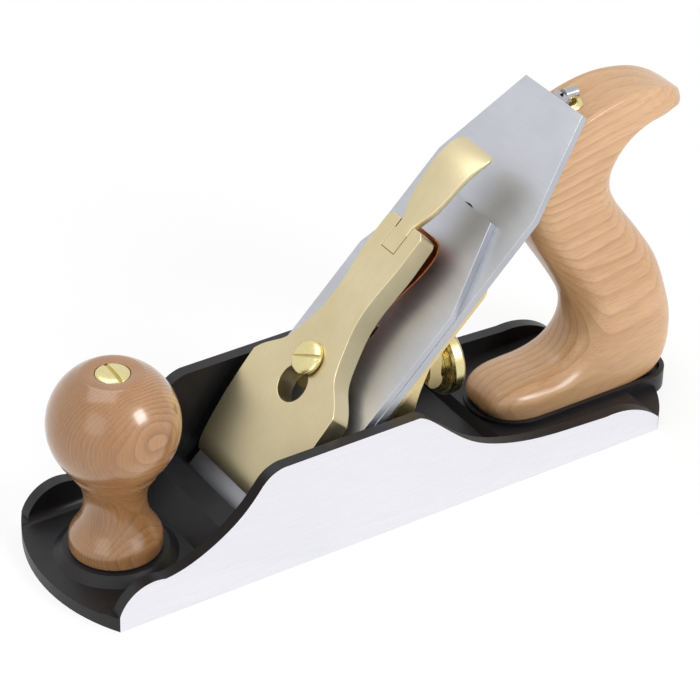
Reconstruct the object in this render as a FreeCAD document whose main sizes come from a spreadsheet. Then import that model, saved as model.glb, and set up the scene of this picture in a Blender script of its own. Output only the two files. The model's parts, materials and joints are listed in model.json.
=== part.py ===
"""Bench hand plane of smoothing size: a parametric FreeCAD document, one object per piece.

Frame: millimetres, +Z up, origin on the sole under the middle of the straight body. X runs from toe to
heel, Y across. Pieces on the bed are drawn in bed coordinates: u up the blade, y across, n out of it.
"""
import FreeCAD, Part
import math
import os
import Sketcher
from FreeCAD import Placement, Rotation, Vector

SIZES = {
    # casting
    "body_width": 73.0, "toe_tip": 133.35, "toe_corner": 122.8, "heel_corner": 115.8, "heel_tip": 131.0,
    "cheek_height": 46.5, "cheek_wall": 4.8, "sole_thickness": 5.0, "cheek_root": 3.5,
    "cheek_front": 55.0, "cheek_rear": 3.0, "wing_height": 16.0,
    "mouth_x": -57.6, "mouth_gap": 1.5, "mouth_block_height": 13.5, "mouth_half": 31.0,
    "seat_angle": 10.0, "seat_rear": 14.0, "seat_half": 26.0,
    "tray_front": 53.3, "tray_rear": 138.0, "tray_half": 18.8, "tray_top": 10.0, "tray_rim": 2.0,
    "tray_floor": 8.0, "tray_underside": 2.0, "tray_corner": 12.0,
    "boss_radius": 19.5, "boss_top": 8.2, "pad_front": 50.5, "pad_run": 3.0, "pad_top": 8.4,
    # blade and chipbreaker
    "bed_angle": 45.0, "blade_half": 30.16, "blade_thickness": 3.2, "blade_shoulder": 157.4,
    "blade_top": 198.4, "blade_top_half": 17.5, "blade_retreat": 0.6, "bevel_angle": 30.0,
    "slot_half": 5.6, "slot_low": 46.0, "slot_high": 142.5, "slot_eye": 9.0, "slot_eye_place": 131.0,
    "breaker_thickness": 3.1, "breaker_setback": 1.0, "breaker_shoulder": 112.0, "breaker_top": 147.5,
    "breaker_top_half": 17.0, "breaker_screw_place": 50.0, "breaker_screw_radius": 3.5,
    "breaker_head_radius": 7.5, "breaker_head_height": 3.0, "breaker_window_half": 5.5,
    # frog
    "frog_half": 28.6, "frog_top": 129.0, "frog_plate": 3.2, "frog_base": 6.0, "frog_rear": 19.5,
    "frog_web": 5.0, "pin_radius": 3.5, "pin_place": -8.0, "pin_spread": 15.0, "pin_depth": 8.0,
    "screw_sink": 6.2, "screw_radius": 3.0, "adjust_collar": 4.6, "adjust_plate": 1.8,
    "frog_corner": 5.0, "plate_screw_radius": 1.5, "plate_screw_head": 2.9, "plate_screw_depth": 4.5,
    # lever cap, cam and spring
    "cap_low": 14.0, "cap_shoulder": 57.0, "cap_top": 129.0, "cap_half": 27.0, "cap_neck_half": 9.3,
    "cap_end_half": 10.8, "keyhole_radius": 7.2, "keyhole_place": 57.0, "keyhole_slot_half": 4.2,
    "cap_screw_place": 67.7, "cap_screw_radius": 3.9, "cap_head_radius": 6.9, "cap_head_height": 2.7,
    "cam_place": 121.0, "cam_height": 15.2, "cam_pin_radius": 1.6, "cam_half": 3.95, "cam_barrel": 6.2,
    "cam_clearance": 0.12, "cam_tip": 167.5, "cam_flare_half": 9.0,
    "spring_thickness": 0.8, "spring_low": 66.0, "rivet_place": 100.0, "rivet_radius": 1.6,
    # depth adjuster
    "stud_height": 40.5, "stud_radius": 3.0, "stud_end": 43.0, "wheel_front": 33.5, "wheel_thickness": 6.0,
    "wheel_radius": 14.5, "hub_radius": 8.0, "groove_radius": 5.5, "groove_front": 24.2,
    "groove_width": 6.6, "hub_flange": 2.0, "yoke_place": 89.6, "yoke_depth": -9.0,
    "yoke_pin_radius": 1.5, "finger_half": 2.3, "finger_width": 3.0,
    # lateral adjuster
    "lateral_place": 118.0, "lateral_pin_radius": 2.0, "roller_place": 106.0, "roller_radius": 5.4,
    "lateral_thickness": 1.4, "lateral_half": 4.0, "lateral_end": 201.0, "roll_radius": 2.3,
    # handles
    "knob_x": -103.7, "ball_radius": 24.3, "ball_height": 61.4, "knob_top": 83.0, "neck_radius": 11.5,
    "neck_height": 29.0, "knob_foot_radius": 17.2, "knob_foot_top": 14.0, "handle_stud_radius": 3.0,
    "knob_nut_radius": 6.4, "knob_nut_height": 3.6, "tote_half": 14.5, "tote_round": 7.0,
    "tote_nut_x": 90.0, "tote_nut_z": 134.5, "tote_stud_foot": 112.0, "tote_nut_radius": 5.2,
    "fit": 0.06, "slot_width": 1.5, "slot_depth": 1.4, "cap_screw_length": 28.0,
    "stud_start": 3.2, "stud_boss_end": 18.0, "lateral_drop": 1.6,
}

DOC = FreeCAD.newDocument("hand_plane")


class Size:
    """A length that carries its number and its spreadsheet expression together."""

    def __init__(self, value, text):
        self.value = value
        self.text = text

    @staticmethod
    def of(other):
        return other if isinstance(other, Size) else Size(float(other), repr(float(other)))

    def __add__(self, other):
        other = Size.of(other)
        return Size(self.value + other.value, f"({self.text} + {other.text})")

    def __sub__(self, other):
        other = Size.of(other)
        return Size(self.value - other.value, f"({self.text} - {other.text})")

    def __rsub__(self, other):
        return Size.of(other) - self

    def __mul__(self, other):
        other = Size.of(other)
        return Size(self.value * other.value, f"({self.text} * {other.text})")

    def __truediv__(self, other):
        other = Size.of(other)
        return Size(self.value / other.value, f"({self.text} / {other.text})")

    def __neg__(self):
        return Size(-self.value, f"(-1 * {self.text})")

    def __float__(self):
        return float(self.value)

    __radd__ = __add__
    __rmul__ = __mul__


def make_sheet():
    """The spreadsheet of driving dimensions: the name in column A, the number in column B."""
    sheet = DOC.addObject("Spreadsheet::Sheet", "Sizes")
    for row, (alias, value) in enumerate(SIZES.items(), start=1):
        sheet.set(f"A{row}", alias)
        sheet.set(f"B{row}", str(value))
        sheet.setAlias(f"B{row}", alias)
    DOC.recompute()
    return sheet


SHEET = make_sheet()


def size(alias):
    """The named size, for an expression."""
    return Size(float(SHEET.get(alias)), f"Sizes.{alias}")


def value(alias):
    """The named size as a plain number."""
    return float(SHEET.get(alias))


# ---------------------------------------------------------------- the bed and other frames

BED = Placement(Vector(value("mouth_x"), 0, 0), Rotation(Vector(0, 1, 0), -value("bed_angle")))


def on_bed(u, n, y=0.0):
    """A point given in bed coordinates, in the part's frame."""
    return BED.multVec(Vector(u, y, n))


def ramp_height(x):
    """Height of the frog seat at x: it rises from the mouth's rear face."""
    start = on_bed(0, -value("blade_thickness"))
    slope = math.tan(math.radians(value("seat_angle")))
    toe = start.x - start.z + value("sole_thickness") + 2
    return value("sole_thickness") + 2 + (x - toe) * slope


RAMP_TURN = Rotation(Vector(0, 1, 0), -value("seat_angle"))


def on_ramp(x, y=0.0, depth=0.0):
    """A placement on the frog seat: its X runs up the seat and its Z stands square to it."""
    base = Vector(x, y, ramp_height(x))
    return Placement(base + RAMP_TURN.multVec(Vector(0, 0, -depth)), RAMP_TURN)


# ---------------------------------------------------------------- sketches and bodies

def attach(sketch, body, role, height=0.0):
    """Lays a sketch on one of its body's origin planes, raised along that plane's normal."""
    plane = [f for f in body.Origin.OriginFeatures if f.Role == role][0]
    sketch.AttachmentSupport = [(plane, "")]
    sketch.MapMode = "FlatFace"
    sketch.AttachmentOffset = Placement(Vector(0, 0, 0), Rotation())
    if isinstance(height, Size):
        sketch.setExpression("AttachmentOffset.Base.z", height.text)


def pin_point(sketch, geometry, corner, point):
    """Fixes one corner of a line, arc or circle at a point of named sizes."""
    for kind, coordinate in zip(("DistanceX", "DistanceY"), point):
        coordinate = Size.of(coordinate)
        index = sketch.addConstraint(Sketcher.Constraint(kind, -1, 1, geometry, corner, coordinate.value))
        sketch.setExpression(f"Constraints[{index}]", coordinate.text)


def polygon(sketch, points):
    """A closed outline of straight lines through points of named sizes."""
    flat = [Vector(float(a), float(b), 0) for a, b in points]
    lines = [Part.LineSegment(p, q) for p, q in zip(flat, flat[1:] + flat[:1])]
    first = sketch.GeometryCount
    sketch.addGeometry(lines, False)
    count = len(points)
    for i, point in enumerate(points):
        following = first + (i + 1) % count
        sketch.addConstraint(Sketcher.Constraint("Coincident", first + i, 2, following, 1))
        pin_point(sketch, first + i, 1, point)


def new_body(label, placement=None):
    """An empty body with the piece's name."""
    body = DOC.addObject("PartDesign::Body", label)
    body.Label = label
    body.Placement = placement or Placement()
    return body


def new_sketch(body, role, height=0.0):
    """A sketch of the body on one of its origin planes."""
    sketch = body.newObject("Sketcher::SketchObject", body.Label + "_sketch")
    attach(sketch, body, role, height)
    return sketch


def turned(label, outline, placement=None):
    """A piece turned about its own Z axis from an outline of radius and height."""
    body = new_body(label, placement)
    sketch = new_sketch(body, "XZ_Plane")
    polygon(sketch, outline)
    turn = body.newObject("PartDesign::Revolution", label + "_turning")
    turn.Profile = sketch
    turn.ReferenceAxis = (sketch, ["V_Axis"])
    turn.Angle = 360.0
    DOC.recompute()
    return body


def cut(body, draw, height, depth):
    """Cuts what a drawn outline covers, from a height downwards, and checks that it did cut."""
    before = body.Shape.Volume
    sketch = new_sketch(body, "XY_Plane", Size.of(height))
    draw(sketch)
    pocket = body.newObject("PartDesign::Pocket", body.Label + "_cut")
    pocket.Profile = sketch
    pocket.setExpression("Length", Size.of(depth).text)
    DOC.recompute()
    if not body.Shape.Volume < before:
        raise ValueError(f"{body.Label}: a pocket cut nothing")
    return body


def driver_slot(body, top, reach):
    """A screwdriver slot across the head of a turned piece."""
    half = size("slot_width") / 2
    outline = [(-reach, -half), (reach, -half), (reach, half), (-reach, half)]
    return cut(body, lambda sketch: polygon(sketch, outline), top, size("slot_depth"))


def plate(label, outline, low, thickness, placement):
    """A flat piece: an outline padded upwards from a height."""
    body = new_body(label, placement)
    sketch = new_sketch(body, "XY_Plane", Size.of(low))
    polygon(sketch, outline)
    pad = body.newObject("PartDesign::Pad", label + "_pad")
    pad.Profile = sketch
    pad.setExpression("Length", Size.of(thickness).text)
    DOC.recompute()
    return body


def solid_piece(label, shape, placement=None):
    """A piece whose form is neither turned, padded nor made of primitives."""
    piece = DOC.addObject("Part::Feature", label)
    piece.Label = label
    piece.Shape = shape.removeSplitter()
    piece.Placement = placement or Placement()
    return piece


# ---------------------------------------------------------------- free shapes

def face_xz(points, y=0.0):
    """A face on the plane of X and Z from its corners."""
    corners = [Vector(a, y, b) for a, b in points]
    return Part.Face(Part.makePolygon(corners + corners[:1]))


def slab(points, half):
    """A side view pulled out to both sides of the middle."""
    return face_xz(points, -half).extrude(Vector(0, 2 * half, 0))


def curve_edge(points, flat):
    """A smooth curve through points, laid on a plane by a function."""
    curve = Part.BSplineCurve()
    curve.interpolate([flat(*p) for p in points])
    return curve.toShape()


def box(x_low, x_high, y_half, z_low, z_high):
    """A box that is symmetric across the middle."""
    corner = Vector(x_low, -y_half, z_low)
    return Part.makeBox(x_high - x_low, 2 * y_half, z_high - z_low, corner)


def rod(start, end, radius):
    """A round bar between two points."""
    return Part.makeCylinder(radius, (end - start).Length, start, end - start)


def stadium(x_low, x_high, half, z_low, z_high, y=0.0):
    """A slot with round ends, as a solid."""
    core = Part.makeBox(x_high - x_low, 2 * half, z_high - z_low, Vector(x_low, y - half, z_low))
    ends = [Part.makeCylinder(half, z_high - z_low, Vector(x, y, z_low)) for x in (x_low, x_high)]
    return core.multiFuse(ends)


def moved(shape, placement):
    """A shape carried from its own frame into the part's frame."""
    copy = shape.copy()
    copy.Placement = placement.multiply(copy.Placement)
    return copy


# ---------------------------------------------------------------- casting

def plan_block(height):
    """The casting's outline from above, with round toe and heel, as a block."""
    half = value("body_width") / 2
    toe, heel = value("toe_corner"), value("heel_corner")
    corners = [Vector(-toe, -half, 0), Vector(heel, -half, 0), Vector(heel, half, 0), Vector(-toe, half, 0)]
    edges = [
        Part.LineSegment(corners[0], corners[1]).toShape(),
        Part.Arc(corners[1], Vector(value("heel_tip"), 0, 0), corners[2]).toShape(),
        Part.LineSegment(corners[2], corners[3]).toShape(),
        Part.Arc(corners[3], Vector(-value("toe_tip"), 0, 0), corners[0]).toShape(),
    ]
    return Part.Face(Part.Wire(edges)).extrude(Vector(0, 0, height))


def cheek_profile():
    """The casting seen from the side: low at toe and heel, with S curves up to level cheeks."""
    top, wing = value("cheek_height"), value("wing_height")
    toe, heel = value("toe_corner"), value("heel_corner")
    front, rear = -value("cheek_front"), value("cheek_rear")
    rise = top - wing
    low = value("sole_thickness") + 0.8
    front_curve = [(front - 49, wing + 0.4), (front - 42.4, wing + 1.6), (front - 33.5, wing + 0.164 * rise),
                   (front - 24.6, wing + 0.331 * rise), (front - 17.9, wing + 0.5 * rise),
                   (front - 11.2, wing + 0.741 * rise), (front - 6.7, top - 2.7), (front - 3.1, top - 0.7),
                   (front, top)]
    rear_curve = [(rear, top), (rear + 2.5, top - 1.2), (rear + 7, top - 4.7),
                  (rear + 15.8, wing + 0.584 * rise), (rear + 24.7, wing + 0.361 * rise),
                  (rear + 37, wing + 0.18 * rise), (rear + 51.2, wing + 0.065 * rise),
                  (rear + 69, wing + 0.2), (heel - 25.8, wing - 0.7)]
    flat = lambda x, z: Vector(x, -100, z)
    lower = Vector(-toe - 20, -100, low)
    edges = [
        Part.LineSegment(Vector(-toe - 20, -100, -1), lower).toShape(),
        Part.LineSegment(lower, flat(-toe - 0.2, low)).toShape(),
        Part.Arc(flat(-toe - 0.2, low), flat(-toe + 4.5, wing - 2.6), flat(front - 49, wing + 0.4)).toShape(),
        curve_edge(front_curve, flat),
        Part.LineSegment(flat(front, top), flat(rear, top)).toShape(),
        curve_edge(rear_curve, flat),
        Part.Arc(flat(heel - 25.8, wing - 0.7), flat(heel - 5.4, wing - 5.6),
                 flat(heel + 0.2, low)).toShape(),
        Part.LineSegment(flat(heel + 0.2, low), flat(heel + 30, low)).toShape(),
        Part.LineSegment(flat(heel + 30, low), flat(heel + 30, -1)).toShape(),
        Part.LineSegment(flat(heel + 30, -1), flat(-toe - 20, -1)).toShape(),
    ]
    return Part.Face(Part.Wire(edges)).extrude(Vector(0, 200, 0))


def channel():
    """The space between the cheeks, with round roots where they meet the floor."""
    half = value("body_width") / 2 - value("cheek_wall")
    space = box(-200, 200, half, value("sole_thickness"), 100)
    roots = [e for e in space.Edges
             if abs(e.BoundBox.ZMax - value("sole_thickness")) < 0.01 and e.BoundBox.XLength > 300]
    return space.makeFillet(value("cheek_root"), roots)


def tray_outline(half, front, rear, corner, low, high):
    """The tote's tray from above: a round front, straight sides and round rear corners."""
    nose = front + half
    flat = [Vector(nose, half, low), Vector(rear - corner, half, low), Vector(rear, half - corner, low),
            Vector(rear, corner - half, low), Vector(rear - corner, -half, low), Vector(nose, -half, low)]
    bend = corner * (1 - math.sqrt(0.5))
    edges = [
        Part.LineSegment(flat[0], flat[1]).toShape(),
        Part.Arc(flat[1], Vector(rear - bend, half - bend, low), flat[2]).toShape(),
        Part.LineSegment(flat[2], flat[3]).toShape(),
        Part.Arc(flat[3], Vector(rear - bend, bend - half, low), flat[4]).toShape(),
        Part.LineSegment(flat[4], flat[5]).toShape(),
        Part.Arc(flat[5], Vector(front, 0, low), flat[0]).toShape(),
    ]
    return Part.Face(Part.Wire(edges)).extrude(Vector(0, 0, high - low))


def mouth_front():
    """X of the mouth's front edge."""
    return value("mouth_x") - value("mouth_gap")


def casting_shape():
    """The whole casting: sole, cheeks, mouth block, frog seat, knob boss, and tote tray in its raised pad."""
    floor, top = value("sole_thickness"), value("cheek_height")
    inner = value("body_width") / 2 - value("cheek_wall")
    front, mouth_top = mouth_front(), value("mouth_block_height")
    rear_plane = -value("blade_thickness") - 0.4
    throat = on_bed(0, rear_plane)
    throat_x = throat.x - throat.z
    toe_x = throat_x + ramp_height(throat_x + floor + 2)
    seat_rear = value("seat_rear")

    block = plan_block(top + 1).common(cheek_profile())
    shape = block.cut(channel())
    pad_front, pad_top = value("pad_front"), value("pad_top")
    pad = block.common(slab([(pad_front, floor - 0.5), (pad_front + value("pad_run"), pad_top),
                             (200, pad_top), (200, floor - 0.5)], inner + 0.5))
    mouth_block = slab([(front - 20, 1), (front - 20, floor), (front - 11, mouth_top - 0.5),
                        (front - 2, mouth_top), (front, mouth_top - 1.5), (front, 1)], inner + 0.5)
    seat = slab([(throat_x - 1, 1), (toe_x, ramp_height(toe_x)), (seat_rear, ramp_height(seat_rear)),
                 (seat_rear, 1)], value("seat_half"))
    boss = Part.makeCone(value("boss_radius") + 4, value("boss_radius"), value("boss_top") - floor + 0.5,
                         Vector(value("knob_x"), 0, floor - 0.5))
    boss = boss.common(box(-200, 0, inner + 0.5, 0, 50))
    tray = tray_outline(value("tray_half"), value("tray_front"), value("tray_rear"), value("tray_corner"),
                        value("tray_underside"), value("tray_top"))
    shape = shape.multiFuse([mouth_block, seat, boss, pad, tray])

    rim = value("tray_rim")
    recess = tray_outline(value("tray_half") - rim, value("tray_front") + rim, value("tray_rear") - rim,
                          value("tray_corner") - rim, value("tray_floor"), value("tray_top") + 1)
    mouth = slab([(front, -1), (front, top), (throat_x + top, top), (throat_x - 1, -1)], value("mouth_half"))
    shape = shape.cut(recess).cut(mouth)
    tools = [rod(Vector(value("knob_x"), 0, 2), Vector(value("knob_x"), 0, 20), handle_bore()),
             rod(tote_axis(2.0), tote_axis(30.0), handle_bore())]
    tools += seat_bores()
    return shape.cut(tools[0].multiFuse(tools[1:]))


def handle_bore():
    """Radius of the tapped holes that the handle studs screw into."""
    return value("handle_stud_radius") + value("fit")


def tote_axis(z):
    """The point at height z on the tote stud's axis."""
    run = (value("tote_nut_z") - z) / (value("tote_nut_z") - value("tray_floor"))
    return Vector(value("tote_nut_x") + run * (value("tote_stud_foot") - value("tote_nut_x")), 0, z)


def seat_bores():
    """The frog seat's slots for the pins and its tapped holes for the three screws behind them."""
    tools = []
    reach = 1.9
    for y in (-value("pin_spread"), value("pin_spread")):
        slot = stadium(-reach, reach, value("pin_radius") + 0.15, -value("pin_depth") - 0.6, 5)
        tools.append(moved(slot, on_ramp(value("pin_place"), y)))
    for y in (-value("pin_spread"), 0, value("pin_spread")):
        place = on_ramp(value("seat_rear"), y, value("screw_sink"))
        start = place.multVec(Vector(-23.5 if y else -17, 0, 0))
        tools.append(rod(start, place.multVec(Vector(6, 0, 0)), value("screw_radius") + value("fit")))
    return tools


# ---------------------------------------------------------------- handles

def knob():
    """The turned knob: a ball on a waisted neck and a spreading foot."""
    ball, centre = value("ball_radius"), value("ball_height")
    foot, foot_top, top = value("knob_foot_radius"), value("knob_foot_top"), value("knob_top")
    join = centre - ball * math.cos(math.radians(44))
    join_radius = ball * math.sin(math.radians(44))
    flat_radius = math.sqrt(ball ** 2 - (top - centre) ** 2)
    low = value("boss_top")
    flat = lambda r, z: Vector(r, 0, z)
    outline = [
        Part.LineSegment(flat(0, low), flat(foot - 0.8, low)).toShape(),
        Part.Arc(flat(foot - 0.8, low), flat(foot, (low + foot_top) / 2),
                 flat(foot - 0.6, foot_top)).toShape(),
        Part.Arc(flat(foot - 0.6, foot_top), flat(value("neck_radius"), value("neck_height")),
                 flat(join_radius, join)).toShape(),
        Part.Arc(flat(join_radius, join), flat(ball, centre), flat(flat_radius, top)).toShape(),
        Part.LineSegment(flat(flat_radius, top), flat(0, top)).toShape(),
        Part.LineSegment(flat(0, top), flat(0, low)).toShape(),
    ]
    shape = Part.Face(Part.Wire(outline)).revolve(Vector(0, 0, 0), Vector(0, 0, 1), 360)
    seat = Part.makeCylinder(value("knob_nut_radius") + 0.15, 10, Vector(0, 0, knob_seat()))
    bore = Part.makeCylinder(value("handle_stud_radius") + 0.2, 100)
    place = Placement(Vector(value("knob_x"), 0, 0), Rotation())
    return solid_piece("knob", shape.cut(seat).cut(bore), place)


def knob_seat():
    """Height of the ledge in the knob that its nut sits on."""
    return value("knob_top") - value("knob_nut_height") + 0.8


def handle_stud(label, length, placement):
    """A plain stud, threaded at both ends on the real piece."""
    stud = DOC.addObject("Part::Cylinder", label)
    stud.Label = label
    stud.setExpression("Radius", "Sizes.handle_stud_radius")
    stud.Height = length
    stud.Placement = placement
    return stud


def handle_nut(label, radius, height, placement):
    """A domed, slotted brass nut whose blind bore takes the stud's end."""
    bore = size("handle_stud_radius") + 0.02
    depth = height * 0.45
    outline = [(bore, 0), (radius, 0), (radius, height * 0.72), (radius * 0.9, height * 0.88),
               (radius * 0.62, height), (Size.of(0), height), (Size.of(0), depth), (bore, depth)]
    nut = turned(label, outline, placement)
    return driver_slot(nut, height, radius + 1)


TOTE_FRONT = [(54.6, 12.5), (57.5, 18), (64, 21), (80, 21.8), (88.5, 24.5), (94, 30), (96.2, 37.5),
              (95, 45), (91, 54), (83.5, 66), (76.5, 76.5), (70.5, 88), (67.8, 100), (69.5, 112), (75, 123),
              (83, 130.5)]
TOTE_TOP = [(83, 130.5), (95, 135.3), (109, 137.8), (122, 136.8), (133, 132.4), (141.3, 125.6)]
TOTE_REAR = [(139.5, 122.6), (132, 122.6), (123, 121.6), (115.5, 118), (109.3, 112), (106.2, 104.8),
             (106.8, 97.8), (110.5, 90), (117, 81), (125, 70.5), (132, 60), (136.8, 48), (139.9, 36),
             (141.0, 25), (139.6, 15.5)]


def tote():
    """The tote: a side outline pulled to its thickness, with all its long edges rounded."""
    low, half = value("tray_floor"), value("tote_half")
    flat = lambda x, z: Vector(x, -half, z)
    start, tip, under = TOTE_FRONT[0], TOTE_TOP[-1], TOTE_REAR[0]
    heel = TOTE_REAR[-1]
    foot = value("tray_rear") - value("tray_rim") - 0.5
    edges = [
        curve_edge(TOTE_FRONT, flat), curve_edge(TOTE_TOP, flat),
        Part.Arc(flat(*tip), flat(tip[0] + 0.4, (tip[1] + under[1]) / 2), flat(*under)).toShape(),
        curve_edge(TOTE_REAR, flat),
        Part.LineSegment(flat(*heel), flat(foot, low + 2.2)).toShape(),
        Part.LineSegment(flat(foot, low + 2.2), flat(foot - 1.6, low)).toShape(),
        Part.LineSegment(flat(foot - 1.6, low), flat(start[0] + 3.5, low)).toShape(),
        Part.LineSegment(flat(start[0] + 3.5, low), flat(*start)).toShape(),
    ]
    shape = Part.Face(Part.Wire(edges)).extrude(Vector(0, 2 * half, 0))
    nose, corner = value("tray_front") + value("tray_rim") + 0.6, value("tote_round")
    in_tray = tray_outline(half, nose, foot + 0.3, corner + 2, low - 1, low + 4)
    above = tray_outline(half, nose, value("tray_rear") + 4, corner, low + 4, low + 60)
    shape = shape.common(in_tray.multiFuse([above, box(40, 200, half, low + 60, 200)]))
    seat = rod(tote_axis(tote_seat()), tote_axis(170), value("tote_nut_radius") + 0.15)
    bore = rod(tote_axis(0), tote_axis(170), value("handle_stud_radius") + 0.2)
    return solid_piece("tote", shape.cut(seat).cut(bore))


def tote_seat():
    """Height on the stud's axis of the ledge that the tote nut sits on."""
    return value("tote_nut_z") - 2.6


def along(start, end):
    """A placement at start whose Z points to end."""
    return Placement(start, Rotation(Vector(0, 0, 1), end - start))


def handles():
    """Knob, tote and what holds them down."""
    nut_bottom = knob_seat()
    depth = value("knob_nut_height") * 0.45
    knob()
    handle_stud("knob_stud", nut_bottom + depth - 2.2, Placement(Vector(value("knob_x"), 0, 2.2), Rotation()))
    handle_nut("knob_nut", size("knob_nut_radius"), size("knob_nut_height"),
               Placement(Vector(value("knob_x"), 0, nut_bottom), Rotation(Vector(0, 0, 1), -38)))
    tote()
    low, seat = tote_axis(2.6), tote_axis(tote_seat())
    up = along(low, seat)
    handle_stud("tote_stud", (seat - low).Length + depth, up)
    handle_nut("tote_nut", size("tote_nut_radius"), size("knob_nut_height"), Placement(seat, up.Rotation))


# ---------------------------------------------------------------- frog

def frog():
    """The frog: a bed plate, a base on the seat, two side webs and the bosses between them."""
    bed = -value("blade_thickness")
    under = bed - value("frog_plate")
    half, seat, top = value("frog_half"), value("seat_half"), value("frog_top")
    start = on_bed(0, bed)
    throat_x = start.x - start.z
    toe_x = throat_x + ramp_height(throat_x + value("sole_thickness") + 2.7)
    rear = value("frog_rear")
    base_top = ramp_height(rear) + value("frog_base")

    plate_shape = Part.makeBox(top - 4, 2 * half, value("frog_plate"), Vector(4, -half, under))
    corners = [e for e in plate_shape.Edges
               if abs(e.BoundBox.XMin - top) < 0.01 and e.BoundBox.ZLength > 1 and e.BoundBox.YLength < 1]
    plate_shape = moved(plate_shape.makeFillet(value("frog_corner"), corners), BED)
    above = slab([(toe_x, ramp_height(toe_x)), (rear, ramp_height(rear)), (rear, 200), (toe_x - 60, 200)], 60)
    plate_shape = plate_shape.common(above.fuse(box(toe_x + 30, 200, 60, 20, 200)))
    base = slab([(toe_x, ramp_height(toe_x)), (rear, ramp_height(rear)), (rear, base_top),
                 (toe_x + base_top - 3, base_top)], seat)

    high = on_bed(top - 28, under + 0.5)
    bend = [(high.x, high.z), (9.5, 48.0), (8.0, 34.0), (rear - 3, base_top - 0.5)]
    web_edges = [curve_edge(bend, lambda x, z: Vector(x, 0, z)),
                 Part.LineSegment(Vector(bend[-1][0], 0, bend[-1][1]), Vector(toe_x + 6, 0, 9.5)).toShape(),
                 Part.LineSegment(Vector(toe_x + 6, 0, 9.5), Vector(high.x, 0, high.z)).toShape()]
    web = Part.Face(Part.Wire(web_edges)).extrude(Vector(0, value("frog_web"), 0))
    webs = [web.translated(Vector(0, y, 0)) for y in (seat - value("frog_web"), -seat)]

    stud_boss = box(-20, value("stud_boss_end"), 6.5, value("stud_height") - 7, value("stud_height") + 6.5)
    ears = moved(box(yoke_u() - 6, yoke_u() + 5, 7, value("yoke_depth") - 3.5, under + 0.5), BED)
    cap_screw = Vector(value("cap_screw_place"), 0, 0)
    screw_boss = moved(rod(cap_screw + Vector(0, 0, -15), cap_screw + Vector(0, 0, under), 7.5), BED)
    lateral_boss = moved(rod(Vector(value("lateral_place"), 0, -11), Vector(value("lateral_place"), 0, under),
                             5.5), BED)
    shape = plate_shape.multiFuse([base] + webs + [stud_boss, ears, screw_boss, lateral_boss])
    below_bed = moved(box(-50, 300, 100, -300, bed), BED)
    return solid_piece("frog", shape.common(below_bed).cut(frog_cuts(bed)))


def yoke_u():
    """The yoke pin's place up the bed."""
    return value("yoke_place")


def frog_cuts(bed):
    """What is cut from the frog: its openings, recesses, bores and pin holes."""
    fit = value("fit")
    screw_u = value("breaker_screw_place")
    head = value("breaker_head_radius") + 2
    lateral_u, roller_u = value("lateral_place"), value("roller_place")
    groove = value("lateral_thickness") + 0.4
    on_bed_cuts = [
        stadium(screw_u - 1, screw_u + 1, head, -value("breaker_head_height") - bed * -1 - 1.2, 5),
        box(yoke_u() - 5.2, yoke_u() + 7.5, value("finger_width") + 0.3, -40, 5),
        rod(Vector(value("cap_screw_place"), 0, -60), Vector(value("cap_screw_place"), 0, 5),
            value("cap_screw_radius") + fit),
        rod(Vector(lateral_u, 0, -60), Vector(lateral_u, 0, 5), value("lateral_pin_radius") + 0.02),
        rod(Vector(roller_u, 0, bed - groove), Vector(roller_u, 0, 5), value("roller_radius") + 3),
        lever_groove(roller_u, bed, groove),
        rod(Vector(yoke_u(), -20, value("yoke_depth")), Vector(yoke_u(), 20, value("yoke_depth")),
            value("yoke_pin_radius") + 0.02),
    ]
    tools = [moved(tool, BED) for tool in on_bed_cuts]
    stud = Vector(value("stud_start") - 0.2, 0, value("stud_height"))
    tools.append(rod(stud, stud + Vector(40, 0, 0), value("stud_radius") + 0.02))
    for y in (-value("pin_spread"), value("pin_spread")):
        hole = rod(Vector(0, 0, -2), Vector(0, 0, value("frog_base") - 0.5), value("pin_radius") + 0.02)
        tools.append(moved(hole, on_ramp(value("pin_place"), y)))
    plate_screw = plate_screw_place()
    bore = value("plate_screw_radius") + 0.02
    tools.append(rod(plate_screw + Vector(-6, 0, 0), plate_screw + Vector(9, 0, 0), bore))
    return tools[0].multiFuse(tools[1:])


def lever_groove(roller_u, bed, depth):
    """The fan-shaped groove in the bed that the lateral lever swings in."""
    lateral_u, top = value("lateral_place"), value("frog_top")
    wide = value("lateral_half") + 1
    spread = (top + 1 - lateral_u) * math.tan(math.radians(8)) + wide
    outline = [(roller_u - 4, -wide - 2), (lateral_u, -wide - 1), (top + 1, -spread), (top + 1, spread),
               (lateral_u, wide + 1), (roller_u - 4, wide + 2)]
    corners = [Vector(u, y, bed - depth) for u, y in outline]
    return Part.Face(Part.makePolygon(corners + corners[:1])).extrude(Vector(0, 0, depth + 5))


def plate_screw_place():
    """Where the adjusting plate's screw enters the frog's rear face."""
    return Vector(value("frog_rear"), 0, ramp_height(value("frog_rear")) + value("frog_base") / 2)


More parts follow.
